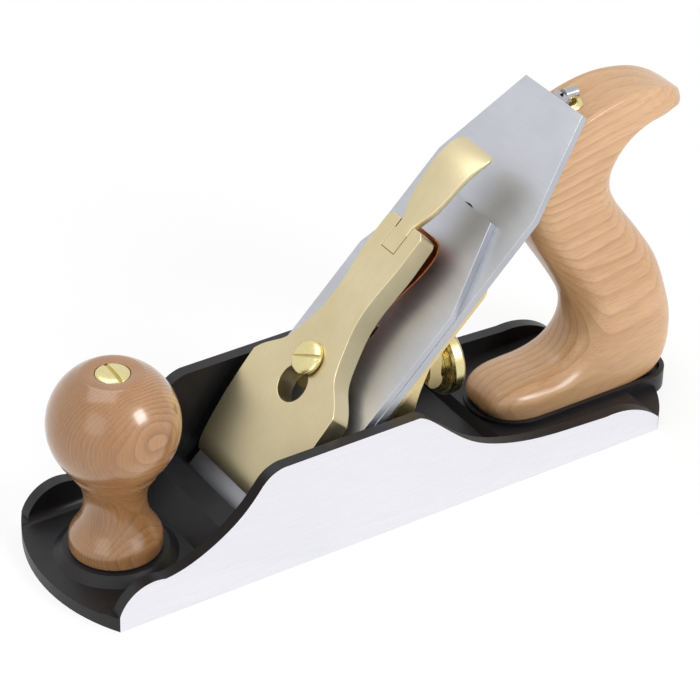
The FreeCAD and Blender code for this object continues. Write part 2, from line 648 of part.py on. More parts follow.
def frog_hardware():
    """Pins, pin screws, adjusting screw, and the forked plate with its screw."""
    pins = []
    for y in (-value("pin_spread"), value("pin_spread")):
        place = on_ramp(value("pin_place"), y)
        pin = rod(Vector(0, 0, -value("pin_depth")), Vector(0, 0, value("frog_base") - 0.5),
                  value("pin_radius"))
        groove = Part.makeTorus(value("pin_radius") + 0.9, 1.8, Vector(0, 0, -value("screw_sink")))
        pins.append(moved(pin.cut(groove), place))
    solid_piece("frog_pins", Part.makeCompound(pins))

    radius, sink = size("screw_radius"), value("screw_sink")
    tip_gap = 2.0
    length = value("seat_rear") - value("pin_place") - value("pin_radius") - tip_gap
    turn = RAMP_TURN.multiply(Rotation(Vector(0, 1, 0), 90))
    for label, y in (("left_pin_screw", -value("pin_spread")), ("right_pin_screw", value("pin_spread"))):
        place = on_ramp(value("seat_rear"), y, sink)
        start = place.multVec(Vector(-length, 0, 0))
        full = Size.of(length + 4)
        outline = [(0, 0), (radius, radius * 0.8), (radius, full), (Size.of(0), full)]
        driver_slot(turned(label, outline, Placement(start, turn)), full, radius + 1)

    place = on_ramp(value("seat_rear"), 0, sink)
    neck, collar, thick = radius * 0.8, size("adjust_collar"), value("adjust_plate")
    lean = value("adjust_collar") * math.tan(math.radians(value("seat_angle"))) + 0.15
    slant = math.cos(math.radians(value("seat_angle")))
    reach = (value("frog_rear") - place.Base.x) / slant
    start, low = -14.0, reach - lean
    groove_end = reach + thick / slant + lean
    outline = [(0, start), (radius, start), (radius, low - 1.4), (collar, low - 1.4), (collar, low),
               (neck, low), (neck, groove_end), (collar, groove_end), (collar, groove_end + 4),
               (Size.of(0), groove_end + 4)]
    screw = turned("frog_adjusting_screw", outline, Placement(place.Base, turn))
    driver_slot(screw, Size.of(groove_end + 4), collar + 1)
    adjusting_plate(place, float(neck), thick)


def adjusting_plate(place, neck, thick):
    """The small fork on the frog's rear face that sits between the adjusting screw's collars."""
    face = value("frog_rear")
    screw = plate_screw_place()
    along = (face - place.Base.x + thick / 2) / math.cos(math.radians(value("seat_angle")))
    axis = place.multVec(Vector(along, 0, 0))
    top = screw.z + 3.2
    low = axis.z - 1.5
    plate_shape = Part.makeBox(thick, 15, top - low, Vector(face, -7.5, low))
    sides = [e for e in plate_shape.Edges if e.BoundBox.XLength > thick / 2 and e.BoundBox.YLength < 0.1]
    plate_shape = plate_shape.makeFillet(2.0, sides)
    fork = stadium(-8, 0, neck + 0.3, -5, 5)
    fork.Placement = Placement(axis, Rotation(Vector(0, 1, 0), -90))
    slot = fork.fuse(rod(axis - Vector(5, 0, 0), axis + Vector(5, 0, 0), neck + 0.3))
    shank, head = value("plate_screw_radius"), value("plate_screw_head")
    depth = value("plate_screw_depth")
    hole = rod(screw - Vector(2, 0, 0), screw + Vector(5, 0, 0), shank + 0.05)
    solid_piece("frog_adjusting_plate", plate_shape.cut(slot).cut(hole))
    under = depth + thick
    top = under + 1.8
    outline = [(0, 0), (shank, 0), (shank, under), (head, under), (head, under + 1.1), (head - 0.7, top),
               (0, top)]
    turn = Rotation(Vector(0, 1, 0), 90)
    piece = turned("plate_screw", outline, Placement(screw - Vector(depth, 0, 0), turn))
    cut_height = Size.of(top)
    outline = [(-4, -0.5), (4, -0.5), (4, 0.5), (-4, 0.5)]
    cut(piece, lambda sketch: polygon(sketch, outline), cut_height, 0.9)


# ---------------------------------------------------------------- blade set

def tapered(low, shoulder, top, half, top_half):
    """A blade's outline: parallel up to the shoulder, then narrowing to its top."""
    return [(low, -half), (shoulder, -half), (top, -top_half), (top, top_half), (shoulder, half), (low, half)]


def blade():
    """The blade: flat back up, bevel down, with the long slot and its eye."""
    thick = size("blade_thickness")
    piece = plate("blade_blank", tapered(size("blade_retreat"), size("blade_shoulder"), size("blade_top"),
                                         size("blade_half"), size("blade_top_half")), -thick, thick, BED)
    t, low = value("blade_thickness"), value("blade_retreat")
    run = t / math.tan(math.radians(value("bevel_angle")))
    bevel = slab([(low, 0), (low + run, -t), (low + run, -t - 2), (low - 2, -t - 2), (low - 2, 0)], 50)
    slot = stadium(value("slot_low"), value("slot_high"), value("slot_half"), -t - 1, 1)
    eye = Part.makeCylinder(value("slot_eye"), t + 2, Vector(value("slot_eye_place"), 0, -t - 1))
    return finish_plate("blade", piece, bevel.multiFuse([slot, eye]))


def finish_plate(label, blank, tool):
    """Cuts a padded blank with a tool shape held in the same bed frame."""
    cutter = DOC.addObject("Part::Feature", label + "_tool")
    cutter.Shape = tool
    cutter.Placement = BED
    piece = DOC.addObject("Part::Cut", label)
    piece.Label = label
    piece.Base = blank
    piece.Tool = cutter
    DOC.recompute()
    return piece


def chipbreaker():
    """The chipbreaker: a flat plate that bears on the blade just behind its edge."""
    low = size("blade_retreat") + size("breaker_setback")
    thick = size("breaker_thickness")
    half = size("blade_half") - 0.25
    piece = plate("chipbreaker_blank", tapered(low, size("breaker_shoulder"), size("breaker_top"), half,
                                               size("breaker_top_half")), 0, thick, BED)
    start, t = float(low), value("breaker_thickness")
    nose_end = start + 4.2
    nose = slab([(start - 1, 0.35), (start, 0.35), (nose_end, t), (nose_end, t + 1), (start - 1, t + 1)], 50)
    screw_hole = Part.makeCylinder(value("breaker_screw_radius") + 0.02, 10,
                                   Vector(value("breaker_screw_place"), 0, -2))
    place = value("cap_screw_place")
    window = stadium(place - 5, place + 5, value("breaker_window_half"), -1, t + 1)
    finger = value("finger_half") + 0.35
    notch = box(yoke_u() - finger, yoke_u() + finger, value("finger_width") + 1.6, -1, t + 1)
    return finish_plate("chipbreaker", piece, nose.multiFuse([screw_hole, window, notch]))


def blade_set():
    """Blade, chipbreaker and the screw that clamps them."""
    blade()
    chipbreaker()
    head, radius = size("breaker_head_radius"), size("breaker_screw_radius")
    tall = size("breaker_head_height")
    length = tall + size("blade_thickness") + size("breaker_thickness")
    outline = [(0, 0), (head - 0.8, 0), (head, size("slot_width") * 0.4), (head, tall), (radius, tall),
               (radius, length), (Size.of(0), length)]
    bottom = -value("breaker_head_height") - value("blade_thickness")
    place = BED.multiply(Placement(Vector(value("breaker_screw_place"), 0, bottom), Rotation()))
    screw = turned("chipbreaker_screw", outline, place)
    half = size("slot_width") / 2
    slot = [(-(head + 1), -half), (head + 1, -half), (head + 1, half), (-(head + 1), half)]
    cut(screw, lambda sketch: polygon(sketch, slot), size("slot_depth"), size("slot_depth"))


# ---------------------------------------------------------------- lever cap

CAP_TOP = [(14.0, 7.6), (17.0, 9.6), (23.5, 11.7), (37.6, 14.5), (57.0, 16.4), (85.0, 18.5), (113.0, 19.9),
           (129.0, 20.0)]


def cap_side():
    """Half of the lever cap's outline beyond its shoulder: a sharp corner, then a concave sweep."""
    low, half = value("cap_shoulder"), value("cap_half")
    neck, end = value("cap_neck_half"), value("cap_end_half")
    return [(low, half), (low + 6, half - 5.0), (low + 11, half - 10.3), (low + 20, neck + 3.4),
            (low + 30, neck + 0.6), (low + 40, neck), (low + 53, end - 0.3), (low + 61, end)]


def cap_outline(height, inset=0.0, low=None):
    """The lever cap seen along N, as a block of a height."""
    start = value("cap_low") if low is None else low
    side = [(u, y - inset) for u, y in cap_side() if u >= start]
    top, half = value("cap_top") - inset, value("cap_half") - inset
    round_end = 3.0
    flat = lambda u, y: Vector(u, y, 0)
    edges = []
    if low is None:
        edges.append(Part.LineSegment(flat(start, half), flat(side[0][0], half)).toShape())
    edges.append(curve_edge(side, flat))
    edges.append(Part.LineSegment(flat(*side[-1]), flat(top - round_end, side[-1][1])).toShape())
    edges.append(Part.Arc(flat(top - round_end, side[-1][1]), flat(top - 0.9, side[-1][1] - 0.9),
                          flat(top, side[-1][1] - round_end)).toShape())
    edges.append(Part.LineSegment(flat(top, side[-1][1] - round_end), flat(top, 0)).toShape())
    first = half if low is None else side[0][1]
    edges.append(Part.LineSegment(flat(top, 0), flat(start, 0)).toShape())
    edges.append(Part.LineSegment(flat(start, 0), flat(start, first)).toShape())
    near = Part.Face(Part.Wire(edges)).extrude(Vector(0, 0, height))
    return near.fuse(near.mirror(Vector(0, 0, 0), Vector(0, 1, 0)))


def cap_under(u):
    """Height of the lever cap's underside over the blade's back at u."""
    return 7.4 + (u - value("cap_shoulder")) * 0.062


def lever_cap():
    """The lever cap: crowned above, hollow below, with its keyhole and the cam's slot."""
    flat = lambda u, n: Vector(u, -50, n)
    lip = value("breaker_thickness") + 0.1
    low, top = value("cap_low"), value("cap_top")
    edges = [curve_edge(CAP_TOP, flat),
             Part.LineSegment(flat(top, CAP_TOP[-1][1]), flat(top, cap_under(top))).toShape(),
             Part.LineSegment(flat(top, cap_under(top)), flat(value("cap_shoulder"), 7.4)).toShape(),
             Part.LineSegment(flat(value("cap_shoulder"), 7.4), flat(low + 9, 5.2)).toShape(),
             Part.LineSegment(flat(low + 9, 5.2), flat(low + 4, lip)).toShape(),
             Part.LineSegment(flat(low + 4, lip), flat(low, lip)).toShape(),
             Part.LineSegment(flat(low, lip), flat(*CAP_TOP[0])).toShape()]
    side = Part.Face(Part.Wire(edges)).extrude(Vector(0, 100, 0))
    shape = cap_outline(60).common(side)
    eye = Part.makeCylinder(value("keyhole_radius"), 60, Vector(value("keyhole_place"), 0, 0))
    slot = stadium(value("keyhole_place"), value("cap_screw_place"), value("keyhole_slot_half"), 0, 60)
    cam_slot_half = value("cam_half") + value("cam_clearance")
    barrel = value("cam_barrel") + value("cam_clearance")
    centre = Vector(value("cam_place"), -cam_slot_half, value("cam_height"))
    cam_slot = Part.makeCylinder(barrel, 2 * cam_slot_half, centre, Vector(0, 1, 0))
    cam_slot = cam_slot.fuse(box(value("cam_place"), top + 5, cam_slot_half, 0, 60))
    pin = rod(centre - Vector(0, 3.2, 0), centre + Vector(0, 2 * cam_slot_half + 3.2, 0),
              value("cam_pin_radius") + 0.02)
    rivet = rod(Vector(value("rivet_place"), 0, 0), Vector(value("rivet_place"), 0, 14.0),
                value("rivet_radius") + 0.02)
    return solid_piece("lever_cap", shape.cut(eye.multiFuse([slot, cam_slot, pin, rivet])), BED)


def cam_lever():
    """The cam lever: a barrel on its pin inside the cap, a narrow neck and a flared thumb plate."""
    place, height = value("cam_place"), value("cam_height")
    half, top, tip = value("cam_half"), value("cap_top"), value("cam_tip")
    flare = value("cam_flare_half")
    flat = lambda u, n: Vector(u, -30, n)
    upper = [(place + 2, 20.0), (top, 20.0), (tip - 30, 20.1), (tip - 14, 20.5), (tip - 7.5, 20.2)]
    lower = [(tip - 6.8, 17.4), (tip - 14, 17.3), (tip - 30, 16.6), (top, 15.6), (place + 3, 12.4)]
    start = upper[0]
    edges = [curve_edge(upper, flat),
             Part.LineSegment(flat(*upper[-1]), flat(tip, 16.2)).toShape(),
             Part.LineSegment(flat(tip, 16.2), flat(tip - 1.6, 14.2)).toShape(),
             Part.LineSegment(flat(tip - 1.6, 14.2), flat(*lower[0])).toShape(),
             curve_edge(lower, flat),
             Part.LineSegment(flat(*lower[-1]), flat(*start)).toShape()]
    side = Part.Face(Part.Wire(edges)).extrude(Vector(0, 60, 0))
    over = lambda u, y: Vector(u, y, 0)
    rim = [(top + 4, half + 0.4), (top + 9, half + 1.4), (top + 15, flare - 1.2), (top + 20, flare),
           (tip - 9, flare), (tip - 4.5, flare - 1.6), (tip - 1.2, flare - 5.0), (tip, 0)]
    plan_edges = [Part.LineSegment(over(place - 12, half), over(top, half)).toShape(),
                  Part.LineSegment(over(top, half), over(*rim[0])).toShape(),
                  curve_edge(rim, over),
                  Part.LineSegment(over(tip, 0), over(place - 12, 0)).toShape(),
                  Part.LineSegment(over(place - 12, 0), over(place - 12, half)).toShape()]
    near = Part.Face(Part.Wire(plan_edges)).extrude(Vector(0, 0, 60))
    plan = near.fuse(near.mirror(Vector(0, 0, 0), Vector(0, 1, 0)))
    centre = Vector(place, -half, height)
    barrel = Part.makeCylinder(value("cam_barrel"), 2 * half, centre, Vector(0, 1, 0))
    keep = box(place - 20, place + 20, 20, 0, 20.0)
    shape = side.common(plan).fuse(barrel.common(keep))
    bore = rod(centre - Vector(0, 2, 0), centre + Vector(0, 2 * half + 2, 0),
               value("cam_pin_radius") + value("fit"))
    return solid_piece("cam_lever", shape.cut(bore), BED)


def cap_hardware():
    """The cam's pin, the leaf spring with its rivet, and the screw that holds the cap down."""
    half = value("cam_half") + value("cam_clearance") + 3
    pin = DOC.addObject("Part::Cylinder", "cam_pin")
    pin.setExpression("Radius", "Sizes.cam_pin_radius")
    pin.Height = 2 * half
    spot = Placement(Vector(value("cam_place"), -half, value("cam_height")), Rotation(Vector(1, 0, 0), -90))
    pin.Placement = BED.multiply(spot)

    low, top, thick = value("spring_low"), value("cap_top"), value("spring_thickness")
    gap = 0.02
    band = slab([(low - 2, cap_under(low - 2) - gap - thick), (top + 1, cap_under(top + 1) - gap - thick),
                 (top + 1, cap_under(top + 1) - gap), (low - 2, cap_under(low - 2) - gap)], 40)
    strip = cap_outline(60, 0.0, low + 2).common(band)
    hole = rod(Vector(value("rivet_place"), 0, 0), Vector(value("rivet_place"), 0, 20),
               value("rivet_radius") + 0.03)
    slot = stadium(value("keyhole_place"), value("cap_screw_place"), value("keyhole_slot_half") + 0.4, 0, 60)
    window = box(value("cam_place") - value("cam_barrel") - 0.6, top + 5, value("cam_half") + 0.5, 0, 60)
    solid_piece("cap_spring", strip.cut(hole.multiFuse([slot, window])), BED)

    rivet = size("rivet_radius")
    under = cap_under(value("rivet_place")) - gap - thick
    outline = [(0, -1.0), (rivet * 1.2, -1.0), (rivet * 1.8, -0.4), (rivet * 1.8, -0.15), (rivet, -0.15),
               (rivet, 3.4), (Size.of(0), 3.4)]
    turned("spring_rivet", outline,
           BED.multiply(Placement(Vector(value("rivet_place"), 0, under), Rotation())))

    radius, head, tall = size("cap_screw_radius"), size("cap_head_radius"), size("cap_head_height")
    length = size("cap_screw_length")
    total = length + tall
    outline = [(0, 0), (radius, 0), (radius, length), (head, length), (head, length + tall * 0.55),
               (head * 0.88, length + tall * 0.8), (head * 0.6, total), (Size.of(0), total)]
    bottom = 17.75 - float(length)
    turn = Rotation(Vector(0, 0, 1), 35)
    place = BED.multiply(Placement(Vector(value("cap_screw_place"), 0, bottom), turn))
    driver_slot(turned("cap_screw", outline, place), total, head + 1)


# ---------------------------------------------------------------- depth and lateral adjusters

def depth_adjuster():
    """The stud in the frog, the wheel that turns on it, and the yoke that carries the motion to the blade."""
    height = value("stud_height")
    stud = DOC.addObject("Part::Cylinder", "depth_stud")
    stud.setExpression("Radius", "Sizes.stud_radius")
    stud.Height = value("stud_end") - value("stud_start")
    stud.Placement = Placement(Vector(value("stud_start"), 0, height), Rotation(Vector(0, 1, 0), 90))

    bore = size("stud_radius") + size("fit")
    hub, rim, groove = size("hub_radius"), size("wheel_radius"), size("groove_radius")
    flange, low = size("hub_flange"), size("groove_front")
    high = low + size("groove_width")
    front, back = size("wheel_front"), size("wheel_front") + size("wheel_thickness")
    outline = [(bore, low - flange), (hub, low - flange), (hub, low), (groove, low), (groove, high),
               (hub, high),
               (hub, front), (rim - 1.2, front), (rim, front + 1.2), (rim, back - 1.2), (rim - 1.2, back),
               (hub - 1.5, back), (hub - 2.5, back + 1.2), (bore, back + 1.2)]
    turned("depth_nut", outline, Placement(Vector(0, 0, height), Rotation(Vector(0, 1, 0), 90)))
    yoke()
    half = 7.0
    pin = DOC.addObject("Part::Cylinder", "yoke_pin")
    pin.setExpression("Radius", "Sizes.yoke_pin_radius")
    pin.Height = 2 * half
    spot = Placement(Vector(yoke_u(), -half, value("yoke_depth")), Rotation(Vector(1, 0, 0), -90))
    pin.Placement = BED.multiply(spot)


def yoke():
    """The yoke: a finger through the blade's slot, a hub on the pin and two arms beside the wheel's hub."""
    depth, finger = value("yoke_depth"), value("finger_half")
    width = value("finger_width")
    pivot = on_bed(yoke_u(), depth)
    finger_shape = moved(box(yoke_u() - finger, yoke_u() + finger, width, depth, 2.6), BED)
    hub = rod(Vector(pivot.x, -width, pivot.z), Vector(pivot.x, width, pivot.z), 4.0)
    middle = value("groove_front") + value("groove_width") / 2
    shelf_low = value("stud_height") + value("hub_radius") + 1.6
    shelf_high = shelf_low + 3.6
    link = slab([(pivot.x - 1.5, pivot.z - 3.6), (middle - 5, shelf_low), (middle + 2, shelf_low),
                 (middle + 2, shelf_high), (middle - 5, shelf_high), (pivot.x + 1, pivot.z + 3.8)], width)
    inner, outer = value("hub_radius") + 0.5, value("hub_radius") + 3.5
    shelf = box(middle - 3, middle + 2, outer, shelf_low, shelf_high)
    shape = finger_shape.multiFuse([hub, link, shelf])
    foot = value("stud_height") - 1.0
    for side in (-1, 1):
        low = min(side * inner, side * outer)
        arm = Part.makeBox(5, outer - inner, shelf_high - foot, Vector(middle - 3, low, foot))
        toe = rod(Vector(middle - 0.5, low, foot), Vector(middle - 0.5, low + outer - inner, foot), 3.2)
        nub_low = min(side * (value("groove_radius") + 0.4), side * (inner + 0.5))
        nub = Part.makeBox(2, inner - value("groove_radius") + 0.1, 4, Vector(middle - 1, nub_low, foot - 1))
        shape = shape.multiFuse([arm, toe, nub])
    bore = rod(Vector(pivot.x, -20, pivot.z), Vector(pivot.x, 20, pivot.z),
               value("yoke_pin_radius") + value("fit"))
    return solid_piece("yoke", shape.cut(bore))


def lateral_adjuster():
    """The lateral lever under the blade, its rolled end, its pin and the roller in the blade's slot."""
    bed = -value("blade_thickness")
    thick, half = value("lateral_thickness"), value("lateral_half")
    low = bed - 0.2 - thick
    lateral_u, roller_u, end = value("lateral_place"), value("roller_place"), value("lateral_end")
    strip = Part.makeBox(end - roller_u, 2 * half, thick, Vector(roller_u, -half, low))
    tail = Part.makeCylinder(half, thick, Vector(roller_u, 0, low))
    eye = Part.makeCylinder(half + 1.5, thick, Vector(lateral_u, 0, low))
    shape = strip.multiFuse([tail, eye])
    holes = [Part.makeCylinder(value("lateral_pin_radius") + value("fit"), 20, Vector(lateral_u, 0, -12)),
             Part.makeCylinder(1.68, 20, Vector(roller_u, 0, -12))]
    strip_in_place = moved(shape.cut(holes[0]).cut(holes[1]), BED)
    roll = value("roll_radius")
    centre = on_bed(end + 1.5, low - value("lateral_drop") + 0.2)
    tube = rod(centre - Vector(2.8, 0, 0), centre + Vector(2.8, 0, 0), roll)
    hollow = rod(centre - Vector(4, 0, 0), centre + Vector(4, 0, 0), roll - thick)
    solid_piece("lateral_lever", strip_in_place.fuse(tube).cut(hollow))

    radius = size("lateral_pin_radius")
    outline = [(0, 0), (radius, 0), (radius, 9.0), (Size.of(0), 9.0)]
    base = bed - 0.05 - 9.0
    turned("lateral_pin", outline, BED.multiply(Placement(Vector(lateral_u, 0, base), Rotation())))
    rim, top = size("roller_radius"), value("blade_thickness") - 0.4
    outline = [(0, -1.5), (1.5, -1.5), (1.5, 0.1), (rim, 0.1), (rim, top), (Size.of(0), top)]
    place = BED.multiply(Placement(Vector(roller_u, 0, bed), Rotation()))
    turned("lateral_roller", outline, place)


# ---------------------------------------------------------------- the part

NODES = ["body_casting", "knob", "knob_stud", "knob_nut", "tote", "tote_stud", "tote_nut", "frog",
         "frog_pins",
         "left_pin_screw", "right_pin_screw", "frog_adjusting_screw", "frog_adjusting_plate", "plate_screw",
         "depth_nut", "depth_stud", "yoke", "yoke_pin", "lateral_lever", "lateral_pin", "lateral_roller",
         "blade", "chipbreaker", "chipbreaker_screw", "lever_cap", "cam_lever", "cam_pin", "cap_spring",
         "spring_rivet", "cap_screw"]


def check_and_write():
    """Checks every object and each piece's shape, then writes one STEP file for each piece."""
    DOC.recompute()
    failed = [o.Label for o in DOC.Objects if {"Invalid", "Error"} & set(o.State)]
    if failed:
        raise ValueError(f"failed objects: {failed}")
    os.makedirs("parts", exist_ok=True)
    pieces = {o.Label: o for o in DOC.Objects if o.Label in NODES}
    for label in NODES:
        shape = pieces[label].Shape
        if shape.isNull() or not shape.isValid() or not shape.Solids:
            raise ValueError(f"{label}: its shape is not valid")
        print(f"{label}: {len(shape.Solids)} solid, {shape.Volume:.1f} mm3")
        shape.exportStep(f"parts/{label}.step")


solid_piece("body_casting", casting_shape())
handles()
frog()
frog_hardware()
blade_set()
lever_cap()
cam_lever()
cap_hardware()
depth_adjuster()
lateral_adjuster()
check_and_write()
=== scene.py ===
"""A metal bench hand plane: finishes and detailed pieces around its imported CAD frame.

Everything is in metres, in the frame of the CAD model: +X from toe to heel, +Z up from the sole.
"""
import json
import logging
import math
from dataclasses import dataclass, field
from enum import Enum
from typing import Callable, Optional, Sequence

import bmesh
import bpy
from mathutils import Matrix, Vector


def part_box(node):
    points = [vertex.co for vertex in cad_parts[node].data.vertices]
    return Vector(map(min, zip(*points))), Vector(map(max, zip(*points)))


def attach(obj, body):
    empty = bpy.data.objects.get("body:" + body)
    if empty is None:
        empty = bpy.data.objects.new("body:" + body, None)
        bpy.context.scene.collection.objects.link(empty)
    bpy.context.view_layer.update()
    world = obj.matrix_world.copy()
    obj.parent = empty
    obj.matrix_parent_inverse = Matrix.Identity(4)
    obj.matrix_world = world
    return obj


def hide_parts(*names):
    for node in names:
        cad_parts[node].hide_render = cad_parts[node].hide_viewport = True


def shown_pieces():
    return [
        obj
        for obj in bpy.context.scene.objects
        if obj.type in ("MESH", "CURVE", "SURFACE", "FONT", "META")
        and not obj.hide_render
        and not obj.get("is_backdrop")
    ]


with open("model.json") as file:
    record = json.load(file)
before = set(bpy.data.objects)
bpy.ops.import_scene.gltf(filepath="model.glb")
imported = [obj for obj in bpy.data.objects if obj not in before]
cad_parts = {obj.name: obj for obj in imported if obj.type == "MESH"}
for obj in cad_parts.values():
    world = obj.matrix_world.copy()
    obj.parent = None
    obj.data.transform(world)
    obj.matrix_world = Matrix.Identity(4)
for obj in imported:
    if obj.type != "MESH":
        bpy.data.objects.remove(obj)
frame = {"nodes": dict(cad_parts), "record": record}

logging.basicConfig(level=logging.INFO, format="%(message)s")
LOG = logging.getLogger("hand_plane")

MM = 0.001
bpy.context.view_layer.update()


# ------------------------------------------------------------------ colours and nodes

def linear(code: str) -> tuple[float, float, float, float]:
    """Turns an sRGB hex colour to linear.

    Args:
        code: six hex digits.

    Returns:
        Linear red, green, blue and an alpha of one.
    """
    channels = [int(code[i:i + 2], 16) / 255 for i in (0, 2, 4)]
    turned = [c / 12.92 if c <= 0.04045 else ((c + 0.055) / 1.055) ** 2.4 for c in channels]
    return (turned[0], turned[1], turned[2], 1.0)


def add_node(tree: bpy.types.NodeTree, kind: str, links: Optional[dict] = None, **settings) -> bpy.types.Node:
    """Adds a shader node with its settings and links.

    Args:
        tree: the material's or world's node tree.
        kind: the node's type name.
        links: input name or index to an output socket or a plain value.
        **settings: attributes of the node.

    Returns:
        The new node.
    """
    node = tree.nodes.new(kind)
    for name, setting in settings.items():
        setattr(node, name, setting)
    for name, source in (links or {}).items():
        socket = node.inputs[name]
        if isinstance(source, bpy.types.NodeSocket):
            tree.links.new(source, socket)
        else:
            socket.default_value = source
    return node


def ramp(tree: bpy.types.NodeTree, factor: bpy.types.NodeSocket,
         stops: Sequence[tuple[float, str]]) -> bpy.types.NodeSocket:
    """Colours a factor through stops of sRGB hex colours.

    Args:
        tree: the node tree.
        factor: the socket that picks the colour.
        stops: place from 0 to 1 and hex colour, in order.

    Returns:
        The colour socket.
    """
    node = add_node(tree, "ShaderNodeValToRGB", {"Fac": factor})
    elements = node.color_ramp.elements
    while len(elements) < len(stops):
        elements.new(0.5)
    for element, (place, code) in zip(elements, stops):
        element.position = place
        element.color = linear(code)
    return node.outputs["Color"]


class Grain(Enum):
    """How a metal's surface was cut."""

    BRUSHED_ALONG_BED = "along"
    GROUND_ACROSS = "across"
    TURNED = "turned"
    NONE = "none"


@dataclass(frozen=True)
class Metal:
    """A bare metal with fine tool marks."""

    name: str
    colour: str
    shade: str
    roughness: float
    grain: Grain = Grain.NONE
    mark_mm: float = 0.35
    bump: float = 0.03

    def build(self) -> bpy.types.Material:
        """Makes the metal's material, which catches soft streaks of light along its tool marks."""
        material = bpy.data.materials.new(self.name)
        material.use_nodes = True
        tree = material.node_tree
        shader = tree.nodes["Principled BSDF"]
        shader.inputs["Metallic"].default_value = 1.0
        place = add_node(tree, "ShaderNodeTexCoord").outputs["Object"]
        per_metre = 1 / (self.mark_mm * MM)
        stretch = {Grain.BRUSHED_ALONG_BED: (0.02, 1.0, 1.0), Grain.GROUND_ACROSS: (1.0, 0.02, 1.0),
                   Grain.TURNED: (1.0, 0.15, 0.15), Grain.NONE: (1.0, 1.0, 1.0)}[self.grain]
        turned = add_node(tree, "ShaderNodeMapping",
                          {"Vector": place, "Rotation": (0.0, math.radians(45), 0.0)})
        scaled = add_node(tree, "ShaderNodeMapping", {
            "Vector": turned.outputs["Vector"], "Scale": tuple(s * per_metre for s in stretch)})
        marks = add_node(tree, "ShaderNodeTexNoise", {
            "Vector": scaled.outputs["Vector"], "Scale": 1.0, "Detail": 3.0, "Roughness": 0.6})
        broad = add_node(tree, "ShaderNodeTexNoise", {"Vector": place, "Scale": 40.0, "Detail": 2.0})
        blend = add_node(tree, "ShaderNodeMath", {0: marks.outputs["Fac"], 1: broad.outputs["Fac"]},
                         operation="MULTIPLY_ADD")
        blend.inputs[2].default_value = 0.15
        colour = ramp(tree, blend.outputs[0], [(0.25, self.shade), (0.62, self.colour)])
        rough = add_node(tree, "ShaderNodeMapRange", {
            "Value": marks.outputs["Fac"], "To Min": self.roughness * 0.85, "To Max": self.roughness * 1.2})
        bump = add_node(tree, "ShaderNodeBump", {
            "Height": marks.outputs["Fac"], "Strength": self.bump * 10, "Distance": 0.00002})
        tree.links.new(colour, shader.inputs["Base Color"])
        tree.links.new(rough.outputs["Result"], shader.inputs["Roughness"])
        tree.links.new(bump.outputs["Normal"], shader.inputs["Normal"])
        return material


